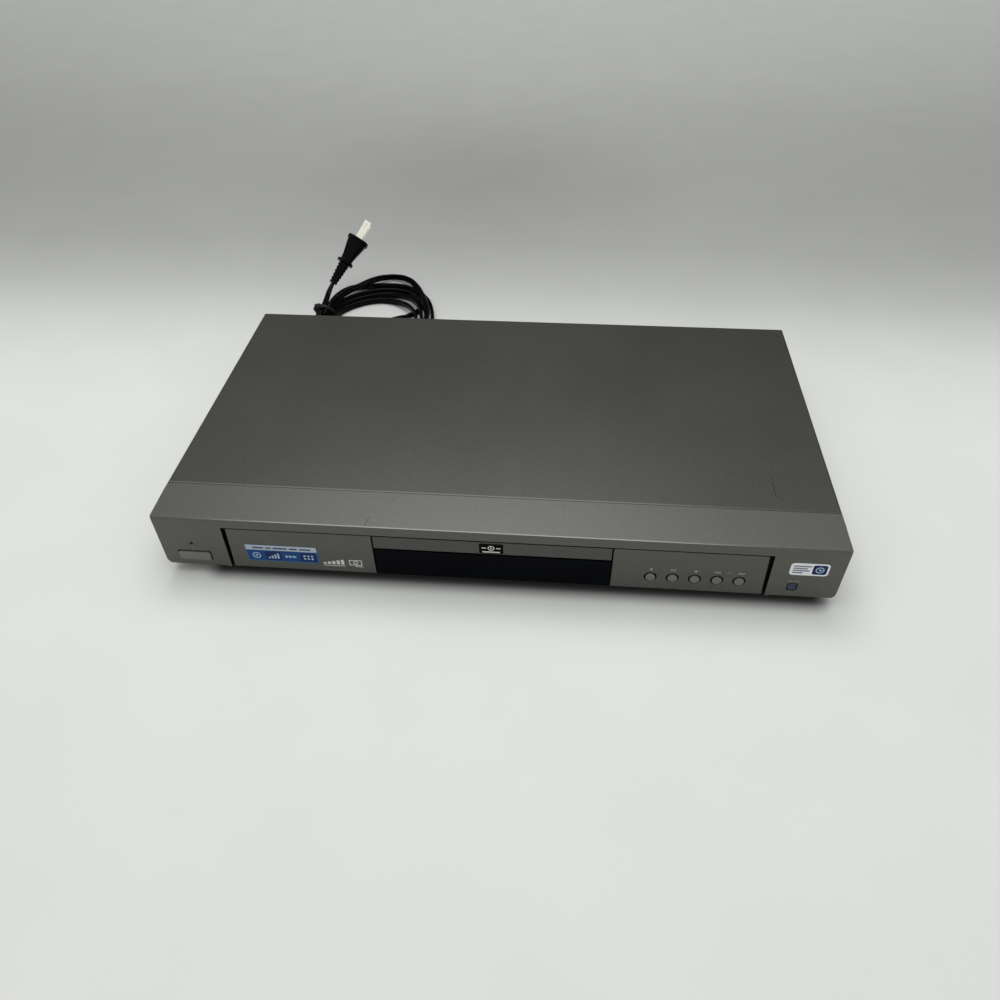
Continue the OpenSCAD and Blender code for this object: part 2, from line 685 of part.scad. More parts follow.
// Flat cable from the front board down to the connector on the main board
ribbon_t = 0.5;
ribbon_x = 150;
ribbon_y = board_y + board_t;
ribbon_z = [parts_z + 2.5, front_board_z[1] - 3.3];
ribbon_end = main_board_y[0] + 4;
ribbon_under = [[ribbon_y, ribbon_z[1]], [ribbon_y + 6, ribbon_z[1]], [ribbon_y + 10, ribbon_z[1] - 4],
    [ribbon_end - 10, ribbon_z[0]], [ribbon_end, ribbon_z[0]]];
module front_ribbon() color("#d8d8d0") placed() along_x([ribbon_x - 8, ribbon_x + 8]) polygon(
    concat(ribbon_under, [for (i = [4:-1:0])
        ribbon_under[i] + [i == 0 || i == 4 ? 0 : ribbon_t / 2, ribbon_t]]));

// ---------- disc loader ----------

module loader_frame() color("#26282a") placed() difference() {
    union() {
        for (s = [-1, 1]) {
            wall = s < 0 ? [-frame_in - frame_wall, -frame_in] : [frame_in, frame_in + frame_wall];
            rail = s < 0 ? [-frame_in - eps, -frame_in + 3.6] : [frame_in - 3.6, frame_in + eps];
            tab = s < 0 ? [-frame_in - eps, -frame_in + 2.6] : [frame_in - 2.6, frame_in + eps];
            block(wall, frame_y, [floor_top + 4, frame_top]);
            block(rail, frame_y, [tray_z - 2.8, tray_z - 0.3]);
            for (y = [24, 112, 180]) block(tab, [y, y + 8], [tray_top + 0.4, frame_top]);
            // Ears for the deck's pivot pins
            block(s < 0 ? [-ear_x[1], -ear_x[0]] : ear_x, [pivot_y - 5, rear_plate_y + eps],
                [pivot_z - 5, plate_z]);
        }
        block([-frame_in - eps, frame_in + eps], [frame_y[0], guide_y[1]], [plate_z - plate_t, plate_z]);
        block([-frame_in - eps, frame_in + eps], [rear_plate_y, frame_y[1]], [plate_z - plate_t, plate_z]);
        // Channel that guides the cam slider
        block([-guide_half, guide_half], guide_y, [guide_low, plate_z - eps]);
        block([-guide_half, guide_half], [guide_y[0], cam_y[1] + 2], [guide_low, cam_low - 0.3]);
        block([-guide_half, guide_half], [cam_y[1] + 0.6, cam_y[1] + 2], [guide_low, cam_low + 1.4]);
        for (p = frame_posts) bar_z(p[0], p[1], 4, [floor_top, plate_z - 1]);
        bar_z(drive_x, gear_y, post_r, [plate_z - 1, tray_z - 0.6]);
        bar_z(pulley_x, gear_y, post_r, [plate_z - 1, tray_z - 3]);
    }
    bar_z(motor_x, motor_y, 5, [plate_z - plate_t - 1, plate_z + 1]);
    bar_x(pivot_y, pivot_z, post_r + run_fit, [-ear_x[1] - 1, 1 - ear_x[0]]);
    bar_x(pivot_y, pivot_z, post_r + run_fit, [ear_x[0] - 1, ear_x[1] + 1]);
    for (p = frame_posts) bar_z(p[0], p[1], 1.3, [floor_top - 1, plate_z + 1]);
}

rack_count = 48;
rack_start = gear_y - 2 * PI * rack_m;

module disc_tray() color("#2a2c2e") placed() union() {
    difference() {
        along_z([tray_z, tray_top])
            polygon(rounded([-tray_w / 2, tray_w / 2], [tray_front + 1.9, tray_back], 3));
        bar_z(0, disc_y, well_r, [well_z, tray_top + 1]);
        bar_z(0, disc_y, small_well_r, [small_well_z, tray_top + 1]);
        bar_z(0, disc_y, slot_w / 2 + 1, [tray_z - 1, tray_top + 1]);
        block([-slot_w / 2, slot_w / 2], [disc_y, tray_back + 1], [tray_z - 1, tray_top + 1]);
        // Finger hollows at the sides of the well
        for (s = [-1, 1]) bar_z(s * (well_r - 2), disc_y, 11, [small_well_z, tray_top + 1]);
        // Hollow corners, seen from below
        difference() {
            block([3 - rack_x, rack_x - 3], [tray_front + 4, tray_back - 2],
                [tray_z - 1, tray_top - 1.8]);
            bar_z(0, disc_y, well_r + 1.8, [tray_z - 2, tray_top]);
            block([-slot_w / 2 - 1.8, slot_w / 2 + 1.8], [disc_y, tray_back], [tray_z - 2, tray_top]);
        }
    }
    // Runners behind the tray
    for (x = [[-tray_w / 2, -tray_w / 2 + runner_w], [tray_w / 2 - runner_w, tray_w / 2]])
        block(x, [tray_back - 4, tray_len], [tray_z, tray_top]);
    // Front wall that carries the door
    block([3.2 - tray_w / 2, tray_w / 2 - 3.2], [tray_front, tray_front + 2],
        [tray_z - 1.8, door_top - door_gap]);
    along_z([tray_z - 2.5, tray_z + eps]) polygon(rack_points(rack_start, rack_count, rack_m));
}

module drive_gear() color("#e6e4da") placed() translate([drive_x, gear_y, 0]) difference() {
    union() {
        along_z([gear_z, gear_z + 2.7]) circle(r = 4);
        along_z([gear_z + 2.6, gear_z + 4.9]) gear(wheel_teeth, gear_m);
        along_z([gear_z + 4.8, tray_z - 0.3]) gear(pinion_teeth, rack_m);
    }
    bar_z(0, 0, post_r + run_fit, [gear_z - 1, tray_z + 1]);
}

module pulley_gear() color("#e6e4da") placed() translate([pulley_x, gear_y, 0]) difference() {
    union() {
        along_z([gear_z, gear_z + 0.5]) circle(r = pulley_r);
        along_z([gear_z + 0.4, gear_z + 1.9]) circle(r = groove_r);
        along_z([gear_z + 1.8, gear_z + 2.3]) circle(r = pulley_r);
        along_z([gear_z + 2.2, gear_z + 4.9]) gear(small_teeth, gear_m, 180 / small_teeth);
    }
    bar_z(0, 0, post_r + run_fit, [gear_z - 1, tray_z + 1]);
}

// Belt outline around both pulleys, grown by g
belt_from = [motor_x, motor_y];
belt_to = [pulley_x, gear_y];
belt_span = norm(belt_to - belt_from);
belt_dir = atan2(belt_to[1] - belt_from[1], belt_to[0] - belt_from[0]);
belt_lean = asin((groove_r - motor_groove_r) / belt_span);
function belt_points(g) = concat(
    arc(belt_from, motor_groove_r + g, belt_dir + 90 + belt_lean, belt_dir + 270 - belt_lean, 8),
    arc(belt_to, groove_r + g, belt_dir + 270 - belt_lean, belt_dir + 450 + belt_lean, 24));

module drive_belt() color("#181818") placed() along_z([gear_z + 0.7, gear_z + 1.6]) difference() {
    polygon(belt_points(belt_gap + belt_t));
    polygon(belt_points(belt_gap));
}

module loading_motor() color("#b8babc") placed() difference() {
    union() {
        bar_z(motor_x, motor_y, motor_r, [plate_z - plate_t - 12, plate_z - plate_t]);
        bar_z(motor_x, motor_y, 3, [plate_z - plate_t - eps, plate_z - 0.5]);
    }
    bar_z(motor_x, motor_y, 1 + run_fit, [plate_z - 8, plate_z + 1]);
}

module motor_pulley() color("#e6e4da") placed() union() {
    bar_z(motor_x, motor_y, 1, [plate_z - 7, gear_z + eps]);
    bar_z(motor_x, motor_y, 4, [gear_z, gear_z + 0.5]);
    bar_z(motor_x, motor_y, motor_groove_r, [gear_z + 0.4, gear_z + 1.9]);
    bar_z(motor_x, motor_y, 4, [gear_z + 1.8, gear_z + 2.3]);
}

// Sliding plate whose sloping slots lower and raise the front of the deck
module cam_slot(x) {
    lean = atan2(cam_drop, cam_travel);
    length = norm([cam_travel, cam_drop]);
    translate([x, 0, cam_pin_z]) rotate([0, 180 - lean, 0])
        along_y([cam_y[0] - 1, cam_y[1] + 1]) polygon(concat(
            arc([length, 0], cam_half_gap, -90, 90, 8), arc([0, 0], cam_half_gap, 90, 270, 8)));
}

module cam_slider() color("#e6e4da") placed() difference() {
    block([cam_pins[0] - cam_travel - 5, cam_pins[1] + 5.4], cam_y,
        [cam_low, cam_pin_z + cam_half_gap + 1.1]);
    for (x = cam_pins) cam_slot(x);
}

module traverse_deck() color("#3a3c3e") placed() difference() {
    union() {
        block([-deck_half, deck_half], [deck_front, pivot_y - 4], [deck_top - deck_t, deck_top]);
        for (s = [-1, 1]) {
            block(s < 0 ? [-deck_half, 2 - deck_half] : [deck_half - 2, deck_half],
                [deck_front, pivot_y + 3], [deck_top - skirt_h, deck_top]);
            bar_x(pivot_y, pivot_z, post_r, s < 0 ? [-deck_half - pin_out, 1 - deck_half]
                : [deck_half - 1, deck_half + pin_out]);
        }
        block([-deck_half, deck_half], [deck_front, deck_front + 2], [deck_top - skirt_h, deck_top]);
        for (x = cam_pins) bar_y(x, cam_pin_z, cam_pin_r, [cam_y[0] + case_gap, deck_front + 1]);
        // Posts for the guide rods and the feed screw
        for (x = [-rod_x, rod_x], y = [deck_open[0] - 4.6, deck_open[1]])
            block([x - 3, x + 3], [y, y + 4], [deck_top - eps, rod_z + 2.4]);
        block([screw_x - 2.4, screw_x + 2.4], [deck_open[0] - 4.6, deck_open[0] - 0.6],
            [deck_top - eps, screw_z + 2]);
    }
    block([-18, 18], deck_open, [deck_top - 6, deck_top + 1]);
    for (x = [-rod_x, rod_x]) bar_y(x, rod_z, rod_r, [deck_open[0] - 3.6, deck_open[1] + 3]);
    bar_y(screw_x, screw_z, 1 + run_fit, [deck_open[0] - 5, deck_open[0]]);
    // Lightening holes
    for (x = [-38, 38]) block([x - 6, x + 6], [66, 84], [deck_top - 3, deck_top + 1]);
}

spindle_r = 1;
module spindle_motor() color("#b0b2b4") placed() difference() {
    union() {
        bar_z(0, disc_y, 11.6, [deck_top, deck_top + 4.6]);
        bar_z(0, disc_y, 3, [deck_top + 4.6 - eps, deck_top + 5.6]);
    }
    bar_z(0, disc_y, spindle_r + run_fit, [deck_top + 1, deck_top + 7]);
}

module turntable() color("#33353a") placed() union() {
    bar_z(0, disc_y, spindle_r, [deck_top + 1.6, disc_z - 4]);
    bar_z(0, disc_y, 6, [deck_top + 6, disc_z - 2.9]);
    bar_z(0, disc_y, table_r, [disc_z - 3, disc_z]);
    translate([0, disc_y, disc_z - eps]) cylinder(r1 = 7.45, r2 = 6, h = 2);
}

module pickup() color("#2c2e34") placed() difference() {
    rod_near = rod_x - rod_r - 0.4;
    rod_band = [rod_z - rod_r - 0.3, rod_z + rod_r + 0.3];
    union() {
        block([-17, 17], pickup_y, [deck_top - 5, deck_top + 5.6]);
        for (s = [-1, 1])
            block(s < 0 ? [-25.4, -16.9] : [16.9, 25.4], pickup_y, [deck_top + 0.6, rod_z + 2.6]);
        bar_z(0, lens_y, 5, [deck_top + 5.5, disc_z - 2.4]);
        block([25, screw_x - screw_r - 0.4], [lens_y - 4, lens_y + 4], [screw_z - 1.2, screw_z + 1.2]);
    }
    bar_y(-rod_x, rod_z, rod_r + run_fit, [pickup_y[0] - 1, pickup_y[1] + 1]);
    // The right rod runs in an open fork
    block([rod_near, 26], [pickup_y[0] - 1, lens_y - 5], rod_band);
    block([rod_near, 26], [lens_y + 5, pickup_y[1] + 1], rod_band);
    block([rod_near, rod_x + rod_r + 0.4], [lens_y - 6, lens_y + 6], rod_band);
    bar_z(0, lens_y, 3.6, [disc_z - 3, disc_z]);
}

module guide_rods() color("#c8cacc") placed()
    for (x = [-rod_x, rod_x]) bar_y(x, rod_z, rod_r, [deck_open[0] - 3.6, deck_open[1] + 3]);

screw_end = deck_open[1] - 10;
module feed_screw() color("#c8cacc") placed() union() {
    bar_y(screw_x, screw_z, 1, [deck_open[0] - 4.4, screw_end + 5]);
    bar_y(screw_x, screw_z, screw_r, [deck_open[0] - 0.2, screw_end]);
}

module feed_motor() color("#b0b2b4") placed() difference() {
    union() {
        bar_y(screw_x, screw_z, 4, [screw_end + 1, screw_end + 15]);
        block([screw_x - 3.4, screw_x + 3.4], [screw_end + 1, screw_end + 15], [deck_top, screw_z]);
    }
    bar_y(screw_x, screw_z, 1 + run_fit, [screw_end, screw_end + 6]);
}

module clamp_bridge() color("#8c9090") placed() difference() {
    union() {
        along_z([bridge_z, bridge_z + bridge_t]) polygon(rounded(
            [-frame_in - frame_wall, frame_in + frame_wall], [disc_y - 19, disc_y + 19], 3));
        for (y = [disc_y - 18, disc_y + 16.4])
            block([10 - frame_in, frame_in - 10], [y, y + 1.6], [bridge_z, bridge_z + bridge_t + 2]);
    }
    bar_z(0, disc_y, 12.6, [bridge_z - 1, bridge_z + bridge_t + 1]);
}

module clamper() color("#e6e4da") placed() union() {
    bar_z(0, disc_y, 14.4, [disc_z + 2.5, bridge_z - 0.5]);
    bar_z(0, disc_y, 12.2, [bridge_z - 0.6, bridge_z + bridge_t + 0.4]);
    bar_z(0, disc_y, 14.4, [bridge_z + bridge_t + 0.3, bridge_z + bridge_t + 1.5]);
}

// ---------- mains lead ----------

// One ring of the flat lead at point i of a route, level from side to side
function cord_ring(route, i) = let (
        a = route[max(i - 1, 0)], b = route[min(i + 1, len(route) - 1)],
        t = (b - a) / norm(b - a), s = [t[1], -t[0], 0] / norm([t[0], t[1]]), u = cross(s, t))
    [for (k = [0:7]) route[i] + s * cord_w / 2 * cos(45 * k + 22.5) / cos(22.5)
        + u * cord_t / 2 * sin(45 * k + 22.5) / sin(67.5)];

module cord_tube(route) {
    n = len(route);
    polyhedron(points = [for (i = [0:n - 1]) each cord_ring(route, i)],
        faces = concat([[for (k = [0:7]) k]], [[for (k = [7:-1:0]) (n - 1) * 8 + k]],
            [for (i = [0:n - 2], k = [0:7]) [i * 8 + k, (i + 1) * 8 + k,
                (i + 1) * 8 + (k + 1) % 8, i * 8 + (k + 1) % 8]]));
}

// Moves the lead with the back of the case
module lead_placed() translate([cord_x, back_y + front_y, 0] - cord_datum) children();

module cord_lead() color("#0c0c0c") lead_placed() cord_tube(lead_route);
module cord_tail() color("#0c0c0c") lead_placed() cord_tube(tail_route);

module cord_coil() color("#0c0c0c") lead_placed() union() {
    difference() {
        along_z([0, coil_h])
            polygon(ellipse(coil_middle, coil_radii[0] + cord_w / 2, coil_radii[1] + cord_w / 2));
        along_z([-1, coil_h + 1]) polygon(ellipse(coil_hole, hole_radii[0], hole_radii[1]));
    }
    // The bunch of turns under the tie
    along_y(tie_y) polygon(rounded(tie_x, [0, tie_h], 4));
}

// A slice of the plug, rounded and t thick, at height z along its axis
module slice(w, d, z, t = 0.4) translate([0, 0, z]) linear_extrude(t)
    polygon(rounded([-w / 2, w / 2], [-d / 2, d / 2], min(w, d) / 2.6, 3));

module plug_place() lead_placed() translate(plug_root)
    rotate([0, 0, -plug_turn]) rotate([plug_tilt - 90, 0, 0]) rotate([0, 0, plug_roll]) children();

module plug_body() color("#0c0c0c") plug_place() union() {
    hull() {
        slice(7.8, 5.4, 0);
        slice(10.8, 8.6, grip_len);
    }
    hull() {
        slice(11.6, 10.4, grip_len);
        slice(13.4, 12, grip_len + 11);
    }
    hull() {
        slice(13.4, 12, grip_len + 10.6);
        slice(18.6, 15.6, grip_len + plug_len - plug_face_t);
    }
    slice(21, 17.4, grip_len + plug_len - plug_face_t, plug_face_t);
    slice(16, 14, grip_len, 2.4);
    for (i = [0:4]) slice(9.2 + i * 0.8, 6.9 + i * 0.8, 1.8 + i * 4.3, 2.2);
}

module plug_blades() color("#d8d4c0") plug_place()
    for (s = [-1, 1]) difference() {
        block([-3.2, 3.2],
            [s * blade_half_gap - blade_t / 2, s * blade_half_gap + blade_t / 2],
            [grip_len + plug_len, grip_len + plug_len + blade_len]);
        translate([0, s * blade_half_gap, grip_len + plug_len + blade_len - 4.2])
            rotate([90, 0, 0]) cylinder(r = 1.6, h = 4, center = true);
    }

relief_end = back_y + lead_route[0][1] - cord_datum[1];
module relief_slice(w, h, y) along_y(y)
    polygon(rounded([cord_x - w, cord_x + w], [cord_z - h, cord_z + h], min(h / 2, 2)));
module strain_relief() color("#0c0c0c") placed() union() {
    relief_slice(9, 6, [back_in - 3, back_in]);
    relief_slice(6, 4, [back_in - eps, back_y + eps]);
    relief_slice(8, 5.6, [back_y, back_y + 2]);
    hull() {
        relief_slice(6, 4, [back_y + 1, back_y + 2]);
        relief_slice(cord_w / 2 + 0.6, cord_t / 2 + 0.6, [relief_end - 1, relief_end]);
    }
}

front_panel();
left_insert();
right_insert();
tray_door();
door_plate();
display_window();
power_button();
standby_lamp();
eject_button();
play_button();
stop_button();
back_button();
forward_button();
square_button();
display_tube();
front_board();
standby_board();
key_switches();
top_cover();
bottom_chassis();
rear_panel();
foot_front_left();
foot_front_right();
foot_rear_left();
foot_rear_right();
cover_screws();
power_board();
transformer();
power_capacitors();
heatsink();
main_board();
main_chips();
component_jacks();
av_jacks();
digital_jacks();
jack_shells();
front_ribbon();
loader_frame();
disc_tray();
drive_gear();
pulley_gear();
drive_belt();
loading_motor();
motor_pulley();
cam_slider();
traverse_deck();
spindle_motor();
turntable();
pickup();
guide_rods();
feed_screw();
feed_motor();
clamp_bridge();
clamper();
strain_relief();
cord_lead();
cord_coil();
cord_tail();
plug_body();
plug_blades();
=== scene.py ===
import json
import math

import bmesh
import bpy
from mathutils import Matrix, Vector

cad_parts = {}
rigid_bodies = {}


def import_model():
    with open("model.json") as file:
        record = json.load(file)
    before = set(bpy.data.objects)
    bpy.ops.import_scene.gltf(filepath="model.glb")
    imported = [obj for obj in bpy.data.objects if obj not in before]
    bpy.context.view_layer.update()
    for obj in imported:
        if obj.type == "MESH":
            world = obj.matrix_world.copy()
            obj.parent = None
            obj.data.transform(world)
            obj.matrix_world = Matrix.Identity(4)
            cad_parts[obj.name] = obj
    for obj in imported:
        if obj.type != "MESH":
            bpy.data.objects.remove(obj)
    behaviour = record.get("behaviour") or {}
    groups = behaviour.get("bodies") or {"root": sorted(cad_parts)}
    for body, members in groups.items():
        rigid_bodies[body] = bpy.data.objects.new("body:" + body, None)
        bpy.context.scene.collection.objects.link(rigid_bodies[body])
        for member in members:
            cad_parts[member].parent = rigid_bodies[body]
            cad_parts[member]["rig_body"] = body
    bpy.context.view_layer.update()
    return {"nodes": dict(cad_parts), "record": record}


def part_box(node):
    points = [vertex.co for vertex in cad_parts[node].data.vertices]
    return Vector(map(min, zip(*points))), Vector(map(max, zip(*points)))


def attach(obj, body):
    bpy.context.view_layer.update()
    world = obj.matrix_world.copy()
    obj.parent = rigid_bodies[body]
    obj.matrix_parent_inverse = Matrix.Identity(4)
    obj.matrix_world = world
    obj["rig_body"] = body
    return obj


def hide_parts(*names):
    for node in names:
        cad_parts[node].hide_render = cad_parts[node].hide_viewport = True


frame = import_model()

MM = 0.001
UP = Vector((0, 0, 1))
NODES = frame["nodes"]
SLOT_OF = {row["node"]: row.get("material_slot") for row in frame["record"]["subparts"]}

# Planes of the case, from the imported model
FRONT_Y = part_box("front_panel")[0].y
BACK_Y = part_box("rear_panel")[1].y
COVER_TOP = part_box("top_cover")[1].z


def mm(*values):
    return Vector([value * MM for value in values])


def new_object(name, data):
    """An object at the origin, in the scene."""
    made = bpy.data.objects.new(name, data)
    bpy.context.scene.collection.objects.link(made)
    return made


# ---------- camera ----------

SENSOR_WIDTH = 36
LENS = 28.91
CAMERA_PLACE = mm(38.82, -466.93, 398)
CAMERA_RIGHT = Vector((0.99644, 0.08325, -0.01329))
CAMERA_DOWN = Vector((0.04712, -0.68069, -0.73106))
CAMERA_AHEAD = Vector((-0.06991, 0.72783, -0.68219))


def make_camera():
    data = bpy.data.cameras.new("view_camera")
    data.sensor_width = SENSOR_WIDTH
    data.lens = LENS
    camera = new_object("view_camera", data)
    turn = Matrix((CAMERA_RIGHT, -CAMERA_DOWN, -CAMERA_AHEAD)).transposed().to_4x4()
    camera.matrix_world = Matrix.Translation(CAMERA_PLACE) @ turn
    bpy.context.scene.camera = camera


make_camera()


# ---------- shader nodes and node groups ----------

class Nodes:
    """Adds nodes to the tree of a material, a world or a node group."""

    def __init__(self, tree):
        self.tree = tree
        self.coords = self.add("TexCoord")
        self.place = self.coords["Object"]

    def put(self, value, socket):
        """Joins a socket to an input, or sets the input to a value."""
        if isinstance(value, bpy.types.NodeSocket):
            self.tree.links.new(value, socket)
        else:
            socket.default_value = value

    def add(self, kind, values=None, **settings):
        """The outputs of a new node with its settings, whose inputs are set or joined."""
        made = self.tree.nodes.new("ShaderNode" + kind)
        for key, value in settings.items():
            setattr(made, key, value)
        for key, value in (values or {}).items():
            self.put(value, made.inputs[key])
        return made.outputs

    def math(self, operation, *values, clamp=False):
        return self.add("Math", dict(enumerate(values)), operation=operation, use_clamp=clamp)[0]

    def vector(self, operation, *values, output=0):
        return self.add("VectorMath", dict(enumerate(values)), operation=operation)[output]

    def measure(self, operation, *values):
        """A number from vectors: a distance, a length or a dot product."""
        return self.vector(operation, *values, output=1)

    def axis(self, vector, index):
        return self.add("SeparateXYZ", {0: vector})[index]

    def mix(self, share, first, second, blend="MIX"):
        return self.add("Mix", {0: share, 6: first, 7: second}, data_type="RGBA",
                        blend_type=blend)[2]

    def ramp(self, value, low, high):
        """0 below low, 1 above high, and smooth between them."""
        return self.add("MapRange", {"Value": value, "From Min": low, "From Max": high},
                        interpolation_type="SMOOTHSTEP")[0]

    def noise(self, scale, output=0, **more):
        return self.add("TexNoise", {"Vector": self.place, "Scale": scale, **more})[output]

    def cells(self, scale, output="Distance", **settings):
        return self.add("TexVoronoi", {"Vector": self.place, "Scale": scale}, **settings)[output]

    def group(self, group, **values):
        """The outputs of a node group whose inputs have these values."""
        return self.add("Group", values, node_tree=group)


class Group(Nodes):
    """A node group under construction. Its inputs are given by name."""

    def __init__(self, name, **inputs):
        super().__init__(bpy.data.node_groups.new(name, "ShaderNodeTree"))
        for label, value in inputs.items():
            kind = "NodeSocketVector" if hasattr(value, "__len__") else "NodeSocketFloat"
            socket = self.tree.interface.new_socket(label, in_out="INPUT", socket_type=kind)
            socket.default_value = value
        self.given = self.tree.nodes.new("NodeGroupInput").outputs

    def close(self, **outputs):
        """Gives the group its outputs by name, each from a socket."""
        for label in outputs:
            self.tree.interface.new_socket(label, in_out="OUTPUT", socket_type="NodeSocketFloat")
        result = self.tree.nodes.new("NodeGroupOutput")
        for label, value in outputs.items():
            self.put(value, result.inputs[label])
        return self.tree


def make_grain_group():
    """Fine moulded or sprayed texture with a slow change of tone."""
    new = Group("grain", Scale=900.0)
    fine = new.noise(new.given["Scale"], Detail=3.0, Roughness=0.6)
    return new.close(Height=fine, Tone=new.ramp(new.noise(14.0, Detail=4.0), 0.3, 0.7))


def make_flake_group():
    """Metal flakes of a sprayed paint: a random brightness and tilt in each small cell."""
    new = Group("flakes")
    parts = new.add("SeparateColor", {0: new.cells(2600.0, "Color")})
    return new.close(Spark=parts[0], Height=parts[1])


def make_dust_group():
    """Specks of dust that gather in patches, more of them on faces that look up."""
    new = Group("dust", Amount=0.3)
    size = new.math("MULTIPLY", new.ramp(new.noise(30.0, Detail=5.0), 0.42, 0.72), 0.32)
    speck = new.math("LESS_THAN", new.cells(420.0), size)
    upward = new.ramp(new.axis(new.add("NewGeometry")["Normal"], 2), 0.2, 0.9)
    amount = new.math("MULTIPLY", upward, new.given["Amount"])
    return new.close(Mask=new.math("MULTIPLY", speck, amount))


def make_brush_group():
    """Fine lines of rolled or brushed metal, drawn out along the axis with the smallest scale."""
    new = Group("brushing", Stretch=(40.0, 2500.0, 2500.0))
    new.place = new.vector("MULTIPLY", new.place, new.given["Stretch"])
    lines = new.noise(1.0, Detail=4.0, Roughness=0.7)
    return new.close(Height=lines, Tone=new.ramp(lines, 0.35, 0.65))


SCRATCH_WOBBLE = 1.2 * MM


def make_scratch_group():
    """A thin scratch: near the line from one point to another, broken up by noise."""
    new = Group("scratch", From=(0.0, 0.0, 0.0), To=(0.01, 0.0, 0.0), Width=0.0003)
    bend = new.vector("SUBTRACT", new.noise(220.0, 1), (0.5, 0.5, 0.5))
    point = new.vector("ADD", new.place, new.vector("MULTIPLY", bend, (SCRATCH_WOBBLE,) * 3))
    along = new.vector("SUBTRACT", new.given["To"], new.given["From"])
    away = new.vector("SUBTRACT", point, new.given["From"])
    share = new.math("DIVIDE", new.measure("DOT_PRODUCT", away, along),
                     new.measure("DOT_PRODUCT", along, along), clamp=True)
    gap = new.measure("DISTANCE", away, new.vector("MULTIPLY", along, share))
    line = new.math("LESS_THAN", gap, new.given["Width"])
    return new.close(Mask=new.math("MULTIPLY", line, new.ramp(new.noise(900.0), 0.35, 0.5)))


def make_trace_group():
    """Copper traces and solder pads of a circuit board, seen from above or from the front."""
    new = Group("traces", Scale=160.0)
    middle = new.cells(new.given["Scale"], distance="CHEBYCHEV")
    edge = new.cells(new.given["Scale"], feature="DISTANCE_TO_EDGE")
    return new.close(Trace=new.math("LESS_THAN", edge, 0.09),
                     Pad=new.math("LESS_THAN", middle, 0.16))


GRAIN = make_grain_group()
FLAKES = make_flake_group()
DUST = make_dust_group()
BRUSH = make_brush_group()
SCRATCH = make_scratch_group()
TRACES = make_trace_group()


# ---------- materials ----------

LOOKS = {}
SCRATCH_DARK = (0.03, 0.03, 0.03, 1.0)
DUST_COLOUR = (0.45, 0.44, 0.42, 1.0)
# Reach of a painted edge highlight from its edge
HIGHLIGHT_REACH = 0.5 * MM


class Finish(Nodes):
    """A material under construction: its shader, colour, roughness and heights so far."""

    def __init__(self, name, colour, rough, metal=0.0, specular=0.5):
        self.material = LOOKS[name] = bpy.data.materials.new(name)
        self.material.use_nodes = True
        super().__init__(self.material.node_tree)
        self.shader = self.tree.nodes["Principled BSDF"].inputs
        self.shader["Metallic"].default_value = metal
        self.shader["Specular IOR Level"].default_value = specular
        self.base = colour
        self.colour = (*colour, 1.0)
        self.rough = rough
        self.heights = []

    def spread(self, value, tone):
        """The base colour, darker where the value is 0 and lighter where it is 1."""
        dark, light = ((*(part * f for part in self.base), 1.0) for f in (1 - tone, 1 + tone))
        return self.mix(value, dark, light)

    def grain(self, scale, depth, tone=0.08, rough_change=0.06):
        """Surface grain with a slow change of tone and gloss."""
        grain = self.group(GRAIN, Scale=scale)
        self.colour = self.spread(grain["Tone"], tone)
        self.rough = self.math("MULTIPLY_ADD", grain["Tone"], rough_change,
                               self.rough - rough_change / 2)
        self.heights.append((grain["Height"], depth))
        return self

    def overlay(self, value, tone, height, depth):
        """Half of the colour follows a value, and the surface a height."""
        self.colour = self.mix(0.5, self.colour, self.spread(value, tone))
        self.heights.append((height, depth))
        return self

    def brushed(self, stretch, depth, tone=0.12):
        """Fine parallel lines."""
        lines = self.group(BRUSH, Stretch=stretch)
        return self.overlay(lines["Tone"], tone, lines["Height"], depth)

    def mask(self, mask, colour, strength=1.0):
        """Another colour where the mask is 1."""
        self.colour = self.mix(self.math("MULTIPLY", mask, strength), self.colour, colour)
        return self

    def dust(self, amount):
        return self.mask(self.group(DUST, Amount=amount)["Mask"], DUST_COLOUR)

    def painted_edge_highlight(self, y, z, colour, middle, half, share):
        """Painted highlight: a lighter colour along an edge that runs from side to side, most in
        its middle.
        """
        flat = self.vector("MULTIPLY", self.place, (0, 1, 1))
        near = self.ramp(self.measure("DISTANCE", flat, (0, y, z)), HIGHLIGHT_REACH * 1.3,
                         HIGHLIGHT_REACH * 0.7)
        shift = self.math("SUBTRACT", self.axis(self.place, 0), middle)
        central = self.ramp(self.math("ABSOLUTE", shift), half, half * 0.45)
        return self.mask(self.math("MULTIPLY", near, central), colour, share)

    def scratches(self, rows):
        """Scratches, each from one point to another, with half its width, in millimetres."""
        for start, end, width in rows:
            mark = self.group(SCRATCH, From=mm(*start), To=mm(*end), Width=width * MM)
            self.mask(mark["Mask"], SCRATCH_DARK)
        return self

    def done(self):
        """Joins colour, roughness and heights to the shader and gives the material."""
        normal = {}
        for height, depth in self.heights:
            normal["Normal"] = self.add("Bump", {"Height": height, "Strength": 1.0,
                                                 "Distance": depth * MM, **normal})[0]
        for key, value in {"Base Color": self.colour, "Roughness": self.rough, **normal}.items():
            self.put(value, self.shader[key])
        return self.material


def plastic(name, colour, rough, scale=1100, depth=0.03, dust=0.0, specular=0.5):
    Finish(name, colour, rough, specular=specular).grain(scale, depth).dust(dust).done()


def metal(name, colour, rough, stretch=(40, 2500, 2500), depth=0.01):
    Finish(name, colour, rough, 1.0).grain(700, 0.004).brushed(stretch, depth).done()


def paint(name, colour, rough=0.4, metal_share=0.6, depth=0.008, flake_tone=0.25,
          flake_depth=0.006):
    """Sprayed metallic paint: fine grain with flakes in it."""
    look = Finish(name, colour, rough, metal_share).grain(1500, depth, 0.03, 0.03)
    flake = look.group(FLAKES)
    return look.overlay(flake["Spark"], flake_tone, flake["Height"], flake_depth)


